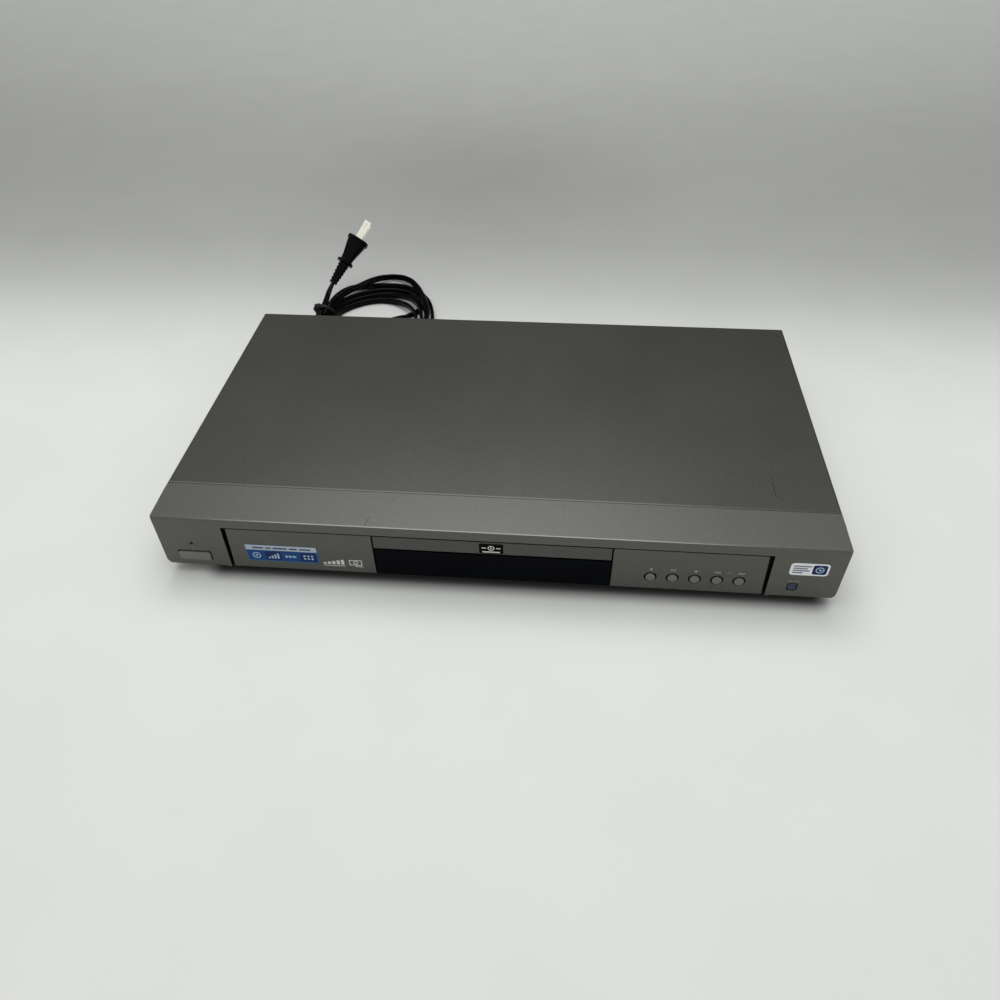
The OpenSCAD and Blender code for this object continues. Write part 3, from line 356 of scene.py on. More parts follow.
COVER_COLOUR = (0.088, 0.091, 0.081)
FRONT_COLOUR = (0.101, 0.102, 0.0915)
INSERT_COLOUR = (0.094, 0.095, 0.085)
DOOR_COLOUR = (0.074, 0.075, 0.068)
KEY_COLOUR = (0.168, 0.169, 0.156)
WINDOW_COLOUR = (0.001, 0.0014, 0.0028)
WINDOW_CLEAR = 0.09
# Colours of the painted highlights along the cover's front edge and along the brow
COVER_EDGE_HIGHLIGHT = (0.26, 0.26, 0.25, 1.0)
BROW_HIGHLIGHT = (0.56, 0.56, 0.54, 1.0)
# Height of the brow's painted highlight line, and how far the cover's front edge lies behind the
# front
BROW_HIGHLIGHT_Z = 50.05 * MM
COVER_SETBACK = 31.1 * MM
COVER_SCRATCHES = [((177, -60.9, 52), (176.6, -84, 52), 0.28),
                   ((143, -92, 52), (139, -94, 52), 0.2)]
FRONT_SCRATCHES = [((-67.6, -105.8, 51.46), (-65.4, -102.6, 51.65), 0.3),
                   ((-65.4, -102.6, 51.65), (-62.6, -101, 51.75), 0.3),
                   ((-78.3, -125, 50.31), (-76.4, -116.2, 50.84), 0.36),
                   ((-147.2, -113, 51.03), (-146.4, -112.4, 51.06), 0.4)]


def make_case_looks():
    cover = paint("cover_paint", COVER_COLOUR, 0.36, 0.75, 0.012, 0.3, 0.008).dust(0.03)
    cover.scratches(COVER_SCRATCHES)
    # Painted highlight along the cover's front edge
    cover.painted_edge_highlight(FRONT_Y + COVER_SETBACK, COVER_TOP, COVER_EDGE_HIGHLIGHT, -0.06, 0.3, 0.5).done()
    front = paint("front_paint", FRONT_COLOUR).dust(0.02).scratches(FRONT_SCRATCHES)
    # Painted highlight along the brow's edge
    front.painted_edge_highlight(FRONT_Y + 0.15 * MM, BROW_HIGHLIGHT_Z, BROW_HIGHLIGHT, -0.013, 0.2, 0.8).done()
    paint("insert_paint", INSERT_COLOUR).done()
    paint("door_paint", DOOR_COLOUR).done()
    paint("key_paint", KEY_COLOUR, 0.36).done()
    window = Finish("smoked_window", WINDOW_COLOUR, 0.07, specular=0.0)
    window.shader["Transmission Weight"].default_value = WINDOW_CLEAR
    window.grain(260, 0.001, 0.1, 0.02).done()


# Plastics: colour, roughness, scale and depth of the grain, dust, specular level
PLASTICS = {
    "key_blue": ((0.012, 0.018, 0.065), 0.3),
    "shadow_black": ((0.004, 0.004, 0.004), 0.7, 1100, 0.03, 0.0, 0.1),
    "gloss_black": ((0.002, 0.0022, 0.003), 0.12, 300, 0.001, 0.0, 0.03),
    "lamp_clear": ((0.003, 0.001, 0.001), 0.3, 400, 0.004, 0.0, 0.1),
    "foot_plastic": ((0.02, 0.02, 0.02), 0.65, 900, 0.05, 0.1),
    "foot_pad": ((0.05, 0.05, 0.05), 0.9, 2000, 0.12, 0.1),
    "capacitor_sleeve": ((0.02, 0.035, 0.12), 0.25, 300, 0.004, 0.1),
    "display_glass": ((0.03, 0.055, 0.05), 0.08, 200, 0.001),
    "switch_black": ((0.018, 0.018, 0.019), 0.4, 800, 0.01, 0.1),
    "socket_black": ((0.012, 0.012, 0.013), 0.4, 900, 0.02, 0.1),
    "loader_black": ((0.016, 0.017, 0.019), 0.55, 1000, 0.04, 0.03),
    "tray_black": ((0.018, 0.019, 0.021), 0.48, 1400, 0.04, 0.02),
    "gear_white": ((0.68, 0.66, 0.60), 0.4, 500, 0.01),
    "belt_rubber": ((0.012, 0.012, 0.012), 0.75, 1800, 0.03),
    "table_black": ((0.03, 0.031, 0.034), 0.5, 1000, 0.02),
    "plug_vinyl": ((0.001, 0.001, 0.0012), 0.22, 1100, 0.02, 0.0, 0.08),
    "tie_black": ((0.002, 0.002, 0.002), 0.4, 900, 0.04, 0.0, 0.2)}

# Metals: colour, roughness, stretch and depth of the brushing
METALS = {
    "black_steel": ((0.05, 0.05, 0.052), 0.42),
    "bare_aluminium": ((0.74, 0.75, 0.76), 0.3, (2500, 2500, 30)),
    "socket_metal": ((0.78, 0.77, 0.73), 0.2, (2500, 60, 2500), 0.004),
    "motor_steel": ((0.60, 0.61, 0.62), 0.28, (2500, 2500, 60)),
    "rod_steel": ((0.70, 0.71, 0.72), 0.16, (2500, 50, 2500), 0.003),
    "pickup_metal": ((0.22, 0.22, 0.23), 0.45, (900, 900, 900), 0.02),
    "blade_nickel": ((0.92, 0.90, 0.79), 0.24, (900, 900, 60), 0.006)}

PRINTS = {
    "print_pale": (0.62, 0.62, 0.58), "print_dim": (0.20, 0.20, 0.19),
    "print_grey": (0.36, 0.36, 0.34),
    "label_white": (0.80, 0.81, 0.82), "label_navy": (0.006, 0.016, 0.10),
    "label_blue": (0.008, 0.055, 0.20), "label_sky": (0.04, 0.13, 0.30),
    "label_band": (0.42, 0.46, 0.48), "label_grey": (0.16, 0.18, 0.26),
    "label_sign": (0.34, 0.50, 0.62), "ring_green": (0.02, 0.25, 0.05),
    "ring_blue": (0.01, 0.06, 0.42), "ring_red": (0.45, 0.015, 0.01),
    "ring_yellow": (0.75, 0.50, 0.02), "ring_white": (0.75, 0.75, 0.72),
    "ring_orange": (0.70, 0.17, 0.01)}


def make_zinc():
    """Zinc-plated sheet with faint spangles."""
    zinc = Finish("zinc_sheet", (0.52, 0.53, 0.53), 0.34, 1.0)
    zinc.grain(600, 0.006, tone=0.07).brushed((30, 1600, 1600), 0.006, 0.1)
    zinc.mask(zinc.cells(110.0, "Color"), (0.62, 0.63, 0.64, 1.0), 0.22).done()


def make_board(name, colour, trace_colour, scale):
    board = Finish(name, colour, 0.42).grain(500, 0.01, tone=0.06)
    pattern = board.group(TRACES, Scale=scale)
    board.mask(pattern["Trace"], trace_colour, 0.8)
    board.mask(pattern["Pad"], (0.55, 0.55, 0.52, 1.0), 0.9)
    board.heights.append((pattern["Trace"], 0.03))
    board.dust(0.3).done()


def make_striped(name, colour, stripe, axis, scale):
    """Even stripes across one axis, as on a flat cable or a wound coil."""
    look = Finish(name, colour, 0.5).grain(800, 0.01)
    wave = look.add("TexWave", {"Vector": look.place, "Scale": scale, "Distortion": 0.1},
                    bands_direction=axis)["Fac"]
    look.mask(look.ramp(wave, 0.75, 0.95), stripe, 0.8)
    look.heights.append((wave, 0.05))
    look.done()


def make_lead_look():
    vinyl = Finish("lead_vinyl", (0.001, 0.001, 0.0012), 0.13, specular=0.07)
    vinyl.grain(700, 0.012, tone=0.2, rough_change=0.08)
    vinyl.heights.append((vinyl.noise(110.0, Detail=2.0), 0.06))
    vinyl.done()


make_case_looks()
make_zinc()
for key, row in PLASTICS.items():
    plastic(key, *row)
for key, row in METALS.items():
    metal(key, *row)
for key, row in PRINTS.items():
    plastic(key, row, 0.4, 600, 0.005, 0.03, 0.15)
make_board("board_green", (0.02, 0.10, 0.045), (0.035, 0.17, 0.07, 1), 150)
make_board("board_tan", (0.30, 0.21, 0.10), (0.40, 0.29, 0.15, 1), 110)
make_striped("coil_tape", (0.62, 0.47, 0.10), (0.45, 0.30, 0.05, 1), "Z", 55)
make_striped("ribbon_white", (0.66, 0.66, 0.64), (0.36, 0.36, 0.37, 1), "X", 125)
make_lead_look()


# ---------- making pieces ----------

MERGE_REACH = 1e-6
FLAT_ANGLE = math.radians(0.6)
BEVEL = {"offset_type": "OFFSET", "profile": 0.5, "clamp_overlap": True, "material": -1}


def place_piece(name, bm, looks, smooth=40, body="case"):
    """Turns a bmesh into a piece that rides on a body, with smooth shading between sharp edges."""
    for face in bm.faces:
        face.smooth = True
    for edge in bm.edges:
        edge.smooth = not edge.is_manifold or edge.calc_face_angle() < math.radians(smooth)
    mesh = bpy.data.meshes.new(name)
    bm.to_mesh(mesh)
    bm.free()
    piece = new_object(name, mesh)
    for look in looks:
        mesh.materials.append(LOOKS[look])
    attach(piece, body)
    return piece


def merged_copy(node):
    """A CAD node's mesh as a bmesh whose doubled points and flat edges are merged."""
    bm = bmesh.new()
    bm.from_mesh(NODES[node].data)
    bmesh.ops.remove_doubles(bm, verts=bm.verts, dist=MERGE_REACH)
    bmesh.ops.dissolve_limit(bm, angle_limit=FLAT_ANGLE, verts=bm.verts, edges=bm.edges)
    return bm


def soften(bm, width, segments, angle=32, where=None):
    """Rounds the sharp edges, all of them or those whose middle passes a test."""
    edges = []
    for edge in bm.edges:
        if not edge.is_manifold or edge.calc_face_angle() < math.radians(angle):
            continue
        if where is None or where((edge.verts[0].co + edge.verts[1].co) / 2):
            edges.append(edge)
    bmesh.ops.bevel(bm, geom=edges, offset=width * MM, affect="EDGES", segments=segments, **BEVEL)


def tint(faces, index):
    """Gives faces the look with this number."""
    for face in faces:
        face.material_index = index


def finished(node, look, width, segments, dark=None, second="shadow_black", where=None, cut=None):
    """A softened copy that stands for a CAD node. Faces that pass the dark test get the second
    look: painted shade in the shadow look, or a foot's pad.
    """
    bm = merged_copy(node)
    if cut:
        cut(bm)
    soften(bm, width, segments, where=where)
    if dark:
        tint([face for face in bm.faces if dark(face)], 1)
    looks = [look, second] if dark else [look]
    piece = place_piece(node + "_finish", bm, looks, body=NODES[node]["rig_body"])
    piece.modifiers.new("even_normals", "WEIGHTED_NORMAL").keep_sharp = True
    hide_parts(node)
    return piece


def add_block(bm, low, high):
    """A block between two corners, in metres. Gives its faces."""
    low, high = Vector(low), Vector(high)
    size = high - low
    matrix = Matrix.Translation((low + high) / 2) @ Matrix.Diagonal((*size, 1))
    made = bmesh.ops.create_cube(bm, size=1, matrix=matrix)
    return list({face for vert in made["verts"] for face in vert.link_faces})


def add_prism(bm, centre, radius, depth, turn, sides):
    """A prism or disc whose axis looks to the front."""
    matrix = (Matrix.Translation(centre) @ Matrix.Rotation(math.radians(90), 4, "X")
              @ Matrix.Rotation(math.radians(turn), 4, "Z"))
    bmesh.ops.create_cone(bm, cap_ends=True, segments=sides, radius1=radius, radius2=radius,
                          depth=depth, matrix=matrix)


def add_ring(bm, centre, outer, inner, depth):
    """A flat ring whose axis looks to the front, spun from a small rectangle."""
    before = set(bm.faces)
    axis = Vector((0, 1, 0))
    side = axis.orthogonal().normalized()
    corners = [(inner, -depth / 2), (outer, -depth / 2), (outer, depth / 2), (inner, depth / 2)]
    verts = [bm.verts.new(Vector(centre) + side * out + axis * up) for out, up in corners]
    edges = [bm.edges.new((verts[i], verts[(i + 1) % 4])) for i in range(4)]
    bmesh.ops.spin(bm, geom=verts + edges, cent=centre, axis=axis, angle=math.tau, steps=40,
                   use_merge=True)
    bmesh.ops.recalc_face_normals(bm, faces=[face for face in bm.faces if face not in before])


def rounded_block(bm, low, high, radius):
    """A block whose four edges from front to back are rounded."""
    edges = {edge for face in add_block(bm, low, high) for edge in face.edges}
    along = [edge for edge in edges
             if abs((edge.verts[0].co - edge.verts[1].co).normalized().y) > 0.9]
    bmesh.ops.bevel(bm, geom=along, offset=radius, affect="EDGES", segments=4, **BEVEL)


# ---------- mains lead ----------

LEAD_W = 6.0
LEAD_T = 3.1
# The lead's route in millimetres: X, Y, Z and how far it is rolled from lying flat. A point
# with only X and Y lies on the floor, on edge. It comes down from the back, goes round in
# five turns, and rises through the tie to the plug.
ON_EDGE = (3.1, 90)
LEAD_ROUTE = [
    (-185, 146, 22, 0), (-185, 151, 21.7, 0), (-185, 156, 20.5, 0), (-185.2, 162, 18.1, 0),
    (-185.5, 168, 15.2, 0), (-185.7, 174, 12.5, 0), (-185.9, 180, 10.2, 0), (-186, 185, 9.1, 0),
    (-186.2, 190, 8.8, 0), (-186.6, 197, 8.9, 0), (-186.6, 204.6, 9.1, 0), (-185.6, 213, 9, 0),
    (-184.3, 221, 8.3, 10), (-181.8, 231, 7.9, 20), (-177.4, 240.6, 7.6, 20),
    (-171, 249.8, 7.4, 20), (-164, 259, 7.2, 30), (-157.4, 268.6, 6.2, 50),
    (-149.6, 276.6, 4.8, 70), (-139.4, 281.2, 3.9, 80), (-127.7, 278.2, 4.6, 70),
    (-118, 268.4, 6.4, 50), (-109.7, 254.2, 7.9, 25), (-102.7, 238.8, 8.4, 15),
    (-97.6, 225.2, 8, 20), (-93.9, 212, 7.2, 35), (-91.6, 201, 7.4, 40), (-91.4, 191, 8.2, 25),
    (-95, 180.5, 8.2, 20), (-102, 171, 6.8, 45), (-112, 164.4, 4.4, 75), (-127, 161.8),
    (-143, 161.3), (-159, 162.5), (-173, 166.7), (-184, 174.5), (-190.3, 183.5), (-192, 192),
    (-192.2, 204), (-191.6, 216), (-190.9, 228.5), (-188.7, 238.8), (-185, 247.8),
    (-179.6, 254.8, 3, 75), (-172.6, 259.4, 2.7, 45), (-164, 261.6, 2.7, 45), (-154, 262.6, 3, 75),
    (-144.7, 263.4), (-132.1, 263.8), (-121.4, 260.9, 3, 75), (-111.4, 254.4, 2.7, 45),
    (-103.6, 246.8, 2.6, 40), (-96.5, 235.7, 2.7, 45), (-90.9, 221.5, 3, 75), (-87.7, 209.2),
    (-86.3, 199), (-87.3, 189, 3, 75), (-92.2, 179, 2.6, 40), (-101.5, 171.6, 2.7, 45),
    (-115, 167.1, 3.1, 85), (-132, 165.5), (-149, 165.5), (-163, 167.4), (-174.5, 172),
    (-183, 179.4), (-187.4, 186.5), (-188.4, 194), (-188.2, 203), (-186.2, 212.5), (-183, 222.4),
    (-178.4, 231.6), (-172.6, 238.7), (-166.1, 244), (-158.7, 248.4), (-149.4, 252.1),
    (-138.8, 253.8), (-125.9, 252.8, 3, 85), (-115.3, 248.2, 2.9, 60), (-106.8, 241, 2.1, 20),
    (-101.4, 232, 1.7, 0), (-101.2, 222.6, 1.7, 0), (-105.4, 214.4, 1.7, 0),
    (-111.6, 208.2, 2, 15), (-118.8, 202.2, 2.9, 60), (-127, 195.5), (-136, 188.6),
    (-145.5, 181.8), (-155, 177.6), (-164.5, 177.2), (-173, 180.4), (-178.8, 187), (-181.1, 195),
    (-180.2, 203), (-177, 210.6), (-172, 217.6), (-165.5, 223.8), (-158.2, 228.8), (-149.5, 232.6),
    (-140, 233.9), (-130.6, 232.2, 3.3, 90), (-121.4, 227.3, 4.4, 90), (-112.4, 219, 6, 90),
    (-105.6, 208.8, 6.4, 90), (-101.4, 198.5, 5.4, 90), (-101.8, 189.8, 3.7, 90), (-105.6, 181.8),
    (-112.2, 176.6), (-120, 173.9), (-133, 172.9), (-147, 173.1), (-160, 173.7), (-171, 176.4),
    (-179.2, 181.6), (-183.6, 188.5), (-184.8, 195), (-184.4, 203), (-182, 212), (-177.8, 220.5),
    (-172.2, 228), (-165.5, 233.9), (-158, 238.5), (-149.2, 242.3), (-141.2, 244.5),
    (-132, 244.8, 3.2, 90), (-122.2, 241.4, 4.2, 90), (-112.8, 234, 5.6, 90),
    (-104.8, 223.4, 6.4, 90), (-99.3, 210.6, 6.2, 90), (-96.6, 199, 5, 90), (-96.5, 189, 3.6, 90),
    (-99.7, 180.5), (-106.5, 174), (-117.5, 170.2), (-133, 169.1), (-143, 169.3, 3.6, 78),
    (-152, 169.8, 5.6, 55), (-161, 170, 7.5, 20), (-171, 169.6, 7.9, 0), (-180.5, 170.6, 7.9, 0),
    (-188.4, 174.8, 7.9, 0), (-192.6, 181.4, 9, 0), (-193, 188.6, 11.2, 0), (-191.9, 195, 12.4, 0),
    (-191.1, 200.5, 12.4, 0), (-190.9, 206.2, 12.4, -4), (-191.2, 212.1, 12.6, -10),
    (-191.5, 218.2, 13.3, -18), (-191.4, 224.2, 14.7, -26), (-190.5, 229.6, 17, -33),
    (-188.64, 234, 19.92, -38), (-187.6, 235.5, 21.3, -40)]
LEAD_EXIT = mm(-185, 118.3, 22)
ROUTE_STEP = 2.0
ROUTE_ROUNDS = 5

PLUG_ROOT = mm(-188.5, 234.2, 20.1)
PLUG_TILT = math.radians(36.7)
PLUG_TURN = math.radians(34.3)
PLUG_ROLL = math.radians(39)

# Sections of the plug in millimetres: height, width, depth and corner radius. First the two ends
# of the ribbed sleeve, then collar, grip and face plate
SLEEVE_ENDS = ((0, 7.2, 5.6, 2), (22, 10.4, 8.8, 2))
GRIP = [(22.1, 11, 9.4), (22.4, 14.8, 12.8), (22.9, 16, 14), (24.3, 16, 14), (24.8, 14.8, 12.8),
        (25.2, 11.8, 10.6), (27.4, 11.6, 10.4), (30.4, 12.2, 11), (33.4, 13.4, 11.9),
        (37.4, 15.2, 13.2), (41.4, 17, 14.5), (46, 18.5, 15.5), (46.6, 20.2, 16.7),
        (47.1, 21, 17.4), (49.2, 21, 17.4), (49.7, 20.4, 16.8), (49.9, 19, 15.4)]

# The tie's way round the bunch (X, Z), and how far it moves along the bunch from point to point
TIE_WRAP = [(-195.2, 10.6), (-194.8, 14.3), (-189, 15.1), (-183.2, 11.6), (-178.4, 6.8),
            (-178.2, 1.5), (-186, 1.45), (-194.2, 1.5), (-194.8, 6)]
TIE_START = 197
TIE_ADVANCE = 0.24
TIE_WIRE = 1.15 * MM
KNOT = mm(-195.4, 200.4, 11.2)
KNOT_OUT = Vector((-0.75, 0.3, 0.15)).normalized()
KNOT_LENGTH = 7.2
KNOT_WIRE = 1.5 * MM
KNOT_POINTS = 24
KNOT_TURNS = 1.8


def smooth_route(points, step, rounds):
    """Points close together on one smooth curve through a route, with their roll."""
    rows = [Vector(point) for point in points]
    line = []
    for i in range(len(rows) - 1):
        before, start = rows[max(i - 1, 0)], rows[i]
        end, after = rows[i + 1], rows[min(i + 2, len(rows) - 1)]
        gaps = [max((b.xyz - a.xyz).length ** 0.5, 1e-3)
                for a, b in ((before, start), (start, end), (end, after))]
        leave = (end - start) / gaps[1]
        reach = leave
        if i > 0:
            leave += (start - before) / gaps[0] - (end - before) / (gaps[0] + gaps[1])
        if i < len(rows) - 2:
            reach += (after - end) / gaps[2] - (after - start) / (gaps[1] + gaps[2])
        leave, reach = leave * gaps[1], reach * gaps[1]
        count = max(2, round((end.xyz - start.xyz).length / step))
        for t in (j / count for j in range(count)):
            line.append((2 * t ** 3 - 3 * t ** 2 + 1) * start + (t ** 3 - 2 * t ** 2 + t) * leave
                        + (3 * t ** 2 - 2 * t ** 3) * end + (t ** 3 - t ** 2) * reach)
    line.append(rows[-1])
    for _ in range(rounds):
        line = [line[0]] + [(line[i - 1] + 2 * line[i] + line[i + 1]) / 4
                            for i in range(1, len(line) - 1)] + [line[-1]]
    return line


def twin_outline(arc_steps=8):
    """Section of the flat twin lead: two round cores side by side with a valley between them."""
    radius = LEAD_T / 2
    centre = LEAD_W / 2 - radius
    reach = math.radians(122)
    right = [(centre + radius * math.cos(a), radius * math.sin(a))
             for a in (reach * (2 * i / arc_steps - 1) for i in range(arc_steps + 1))]
    return right + [(-x, -z) for x, z in right]


def sweep(line, outline):
    """A closed tube with the outline along the line. Its UV map has the length along V."""
    bm = bmesh.new()
    uv = bm.loops.layers.uv.new("along")
    last = len(line) - 1
    rings, lengths = [], [0.0]
    for i, point in enumerate(line):
        ahead = (line[min(i + 1, last)].xyz - line[max(i - 1, 0)].xyz).normalized()
        side = ahead.cross(UP).normalized()
        turn = Matrix.Rotation(math.radians(point.w), 3, ahead)
        across, up = turn @ side, turn @ side.cross(ahead)
        rings.append([bm.verts.new((point.xyz + across * x + up * z) * MM) for x, z in outline])
        if i:
            lengths.append(lengths[-1] + (point.xyz - line[i - 1].xyz).length * MM)
    count = len(outline)
    for i in range(last):
        near, far = rings[i], rings[i + 1]
        for k in range(count):
            face = bm.faces.new((near[k], far[k], far[(k + 1) % count], near[(k + 1) % count]))
            for loop, (row, step) in zip(face.loops, ((0, 0), (1, 0), (1, 1), (0, 1))):
                loop[uv].uv = ((k + step) / count, lengths[i + row])
    bm.faces.new(rings[0])
    bm.faces.new(rings[-1][::-1])
    bmesh.ops.recalc_face_normals(bm, faces=bm.faces)
    return place_piece("mains_lead", bm, ["lead_vinyl"], smooth=70)


def loft(bm, rows, matrix):
    """Rounded rectangular sections (height, width, depth, corner), in mm, joined along an axis."""
    stations = [[value * MM for value in row] for row in rows]
    height, width, depth, corner = stations[0]
    verts = bmesh.ops.create_grid(bm, x_segments=1, y_segments=1, size=0.5)["verts"]
    bmesh.ops.scale(bm, vec=(width, depth, 1), verts=verts)
    before = set(bm.verts) - set(verts)
    bmesh.ops.bevel(bm, geom=verts, offset=corner, affect="VERTICES", segments=4, **BEVEL)
    ring = [vert for vert in bm.verts if vert not in before]
    bmesh.ops.translate(bm, vec=(0, 0, height), verts=ring)
    face = ring[0].link_faces[0]
    shell = {face}
    edges = list(face.edges)
    for new_height, new_width, new_depth, _ in stations[1:]:
        made = bmesh.ops.extrude_edge_only(bm, edges=edges)["geom"]
        moved = [item for item in made if isinstance(item, bmesh.types.BMVert)]
        edges = [item for item in made if isinstance(item, bmesh.types.BMEdge)
                 and all(vert in moved for vert in item.verts)]
        bmesh.ops.translate(bm, vec=(0, 0, new_height - height), verts=moved)
        bmesh.ops.scale(bm, vec=(new_width / width, new_depth / depth, 1), verts=moved)
        shell |= {item for vert in moved for item in vert.link_faces}
        height, width, depth = new_height, new_width, new_depth
    shell.add(bmesh.ops.contextual_create(bm, geom=edges)["faces"][0])
    bmesh.ops.recalc_face_normals(bm, faces=list(shell))
    bmesh.ops.transform(bm, matrix=matrix,
                        verts=list({vert for item in shell for vert in item.verts}))


def ribbed_stations(start, end, ribs, groove):
    """Stations of a taper that is cut by grooves between its ribs."""
    rows = []
    for i in range(ribs):
        for share, cut in ((0.0, 0), (0.55, 0), (0.62, groove), (0.93, groove)):
            t = (i + share) / ribs
            z, width, depth, corner = (a + (b - a) * t for a, b in zip(start, end))
            rows.append((z, width - cut, depth - cut, corner))
    return rows


def make_plug():
    """Moulded plug: ribbed sleeve, collar, waisted grip and face plate, with two blades."""
    place = (Matrix.Translation(PLUG_ROOT) @ Matrix.Rotation(-PLUG_TURN, 4, "Z")
             @ Matrix.Rotation(PLUG_TILT - math.pi / 2, 4, "X")
             @ Matrix.Rotation(PLUG_ROLL, 4, "Z"))
    bm = bmesh.new()
    loft(bm, ribbed_stations(*SLEEVE_ENDS, 6, 1.2) + [(*row, 2) for row in GRIP], place)
    shell = place_piece("plug_shell", bm, ["plug_vinyl"], smooth=38)
    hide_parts("plug_body")
    return shell, finished("plug_blades", "blade_nickel", 0.35, 2)


def make_strain_relief():
    """Grommet in the back and a ribbed taper round the lead."""
    low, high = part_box("strain_relief")
    inner = (BACK_Y - low.y) / MM
    reach = (high.y - BACK_Y) / MM
    place = Matrix.Translation((LEAD_EXIT.x, BACK_Y, LEAD_EXIT.z)) @ Matrix.Rotation(
        math.radians(-90), 4, "X")
    bm = bmesh.new()
    rows = [(-inner, 17.6, 11.6, 1.6), (2.8 - inner, 17.6, 11.6, 0), (3 - inner, 12, 8, 0),
            (0, 12, 8, 0), (0.01, 15.4, 10.6, 0), (0.4, 16, 11.2, 0), (1.7, 16, 11.2, 0),
            (2.1, 15, 10.2, 0)]
    rows += ribbed_stations((2.2, 11.8, 7.8, 0), (reach - 0.6, 7.4, 4.4, 0), 7, 0.9)
    loft(bm, rows + [(reach - 0.5, 7.2, 4.3, 0), (reach, 6.4, 3.6, 0)], place)
    piece = place_piece("strain_sleeve", bm, ["plug_vinyl"], smooth=38)
    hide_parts("strain_relief")


def add_wire(bm, points, radius):
    """A round wire through points, in metres, with closed ends."""
    ring_before = None
    last = len(points) - 1
    for i, point in enumerate(points):
        ahead = points[min(i + 1, last)] - points[max(i - 1, 0)]
        turn = ahead.to_track_quat("Z", "Y").to_matrix().to_4x4()
        ring = bmesh.ops.create_circle(bm, segments=8, radius=radius, cap_ends=i in (0, last),
                                       matrix=Matrix.Translation(point) @ turn)["verts"]
        if ring_before:
            loops = [edge for edge in bm.edges if
                     all(vert in ring for vert in edge.verts)
                     or all(vert in ring_before for vert in edge.verts)]
            bmesh.ops.bridge_loops(bm, edges=loops)
        ring_before = ring


def make_tie():
    """Soft wire tie: two wraps round the bunch and its two ends twisted together."""
    bm = bmesh.new()
    wrap = [(x, TIE_START + i * TIE_ADVANCE, z, 0)
            for i, (x, z) in enumerate(TIE_WRAP * 2 + TIE_WRAP[:1])]
    add_wire(bm, [point.xyz * MM for point in smooth_route(wrap, 1.8, 1)], TIE_WIRE)
    side = KNOT_OUT.cross(UP).normalized()
    up = side.cross(KNOT_OUT)
    for phase in (0, math.pi):
        line = []
        for t in (i / KNOT_POINTS for i in range(KNOT_POINTS + 1)):
            angle = phase + t * math.tau * KNOT_TURNS
            swell = 1.9 + 1.7 * math.sin(t * math.pi)
            line.append(KNOT + KNOT_OUT * (t * KNOT_LENGTH - 3.4) * MM
                        + (side * math.cos(angle) + up * math.sin(angle)) * swell * MM)
        add_wire(bm, line, KNOT_WIRE)
    bmesh.ops.recalc_face_normals(bm, faces=bm.faces)
    return place_piece("lead_tie", bm, ["tie_black"])


def make_lead():
    route = [point if len(point) == 4 else (*point, *ON_EDGE) for point in LEAD_ROUTE]
    line = smooth_route(route, ROUTE_STEP, ROUTE_ROUNDS)
    lead = sweep(line, twin_outline())
    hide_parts("cord_lead", "cord_coil", "cord_tail")
    tie = make_tie()
    shell, blades = make_plug()
    make_strain_relief()


make_lead()


# ---------- front ----------

LOW_FRONT, HIGH_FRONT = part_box("front_panel")
FRONT_TOP = 49 * MM
BROW_RISE = 1.2 * MM
BROW_RADIUS = 0.5
RECESS_TOP = 42.9 * MM
RECESS_HALF = 172 * MM
KEYS = ("eject", "play", "stop", "back", "forward")


def in_front_hollow(face):
    """Inside the recess, behind the wall or in a button hole. Such faces get the shadow look:
    painted shade.
    """
    middle = face.calc_center_median()
    if middle.y < FRONT_Y + 0.35 * MM:
        return False
    inside = abs(middle.x) < RECESS_HALF + 0.25 * MM and middle.z < RECESS_TOP + 0.25 * MM
    outer = (abs(middle.x) > HIGH_FRONT.x - 0.5 * MM or middle.z < LOW_FRONT.z + 0.5 * MM
             or middle.z > FRONT_TOP - 0.3 * MM)
    return inside or not outer


# Faces behind the front face, which get the shadow look as painted shade
def behind_face(face):
    return face.calc_center_median().y > FRONT_Y + 0.4 * MM


def on_brow_edge(point):
    """On the long edge between the ledge and the upright face."""
    return point.z > FRONT_TOP - 0.4 * MM and point.y < FRONT_Y + 1.6 * MM


def outside_recess(point):
    return not (abs(point.x) < RECESS_HALF + 1.2 * MM and point.z < RECESS_TOP + 0.5 * MM)


def round_brow(bm):
    """Raises the brow's edge a little and gives it a softer radius than the other edges."""
    for vert in bm.verts:
        if on_brow_edge(vert.co):
            vert.co.z += BROW_RISE
    soften(bm, BROW_RADIUS, 4, angle=20, where=on_brow_edge)


def make_front():
    # Hollow and set-back faces get the shadow look: painted shade
    finished("front_panel", "front_paint", 0.35, 3, in_front_hollow, where=outside_recess,
             cut=round_brow)
    finished("left_insert", "insert_paint", 0.3, 3, behind_face)
    finished("right_insert", "insert_paint", 0.25, 2, behind_face)
    finished("tray_door", "door_paint", 0.1, 1, behind_face)
    finished("door_plate", "gloss_black", 0.2, 2)
    finished("display_window", "smoked_window", 0.15, 1)
    finished("power_button", "key_paint", 0.7, 4)
    for key in KEYS:
        finished(key + "_button", "key_paint", 0.55, 4)
    finished("square_button", "key_blue", 0.5, 3)


make_front()


# ---------- printed signs and stickers ----------

# Plane of the front and thickness of a print, in millimetres
FACE = FRONT_Y / MM
PRINT = 0.06
SYMBOL_RISE = 7.0
SIDES = (-1, 1)
TO_RIGHT = -90


def middle_of(node):
    """The middle of a CAD node's box, in millimetres."""
    low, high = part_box(node)
    return (low + high) / 2 / MM


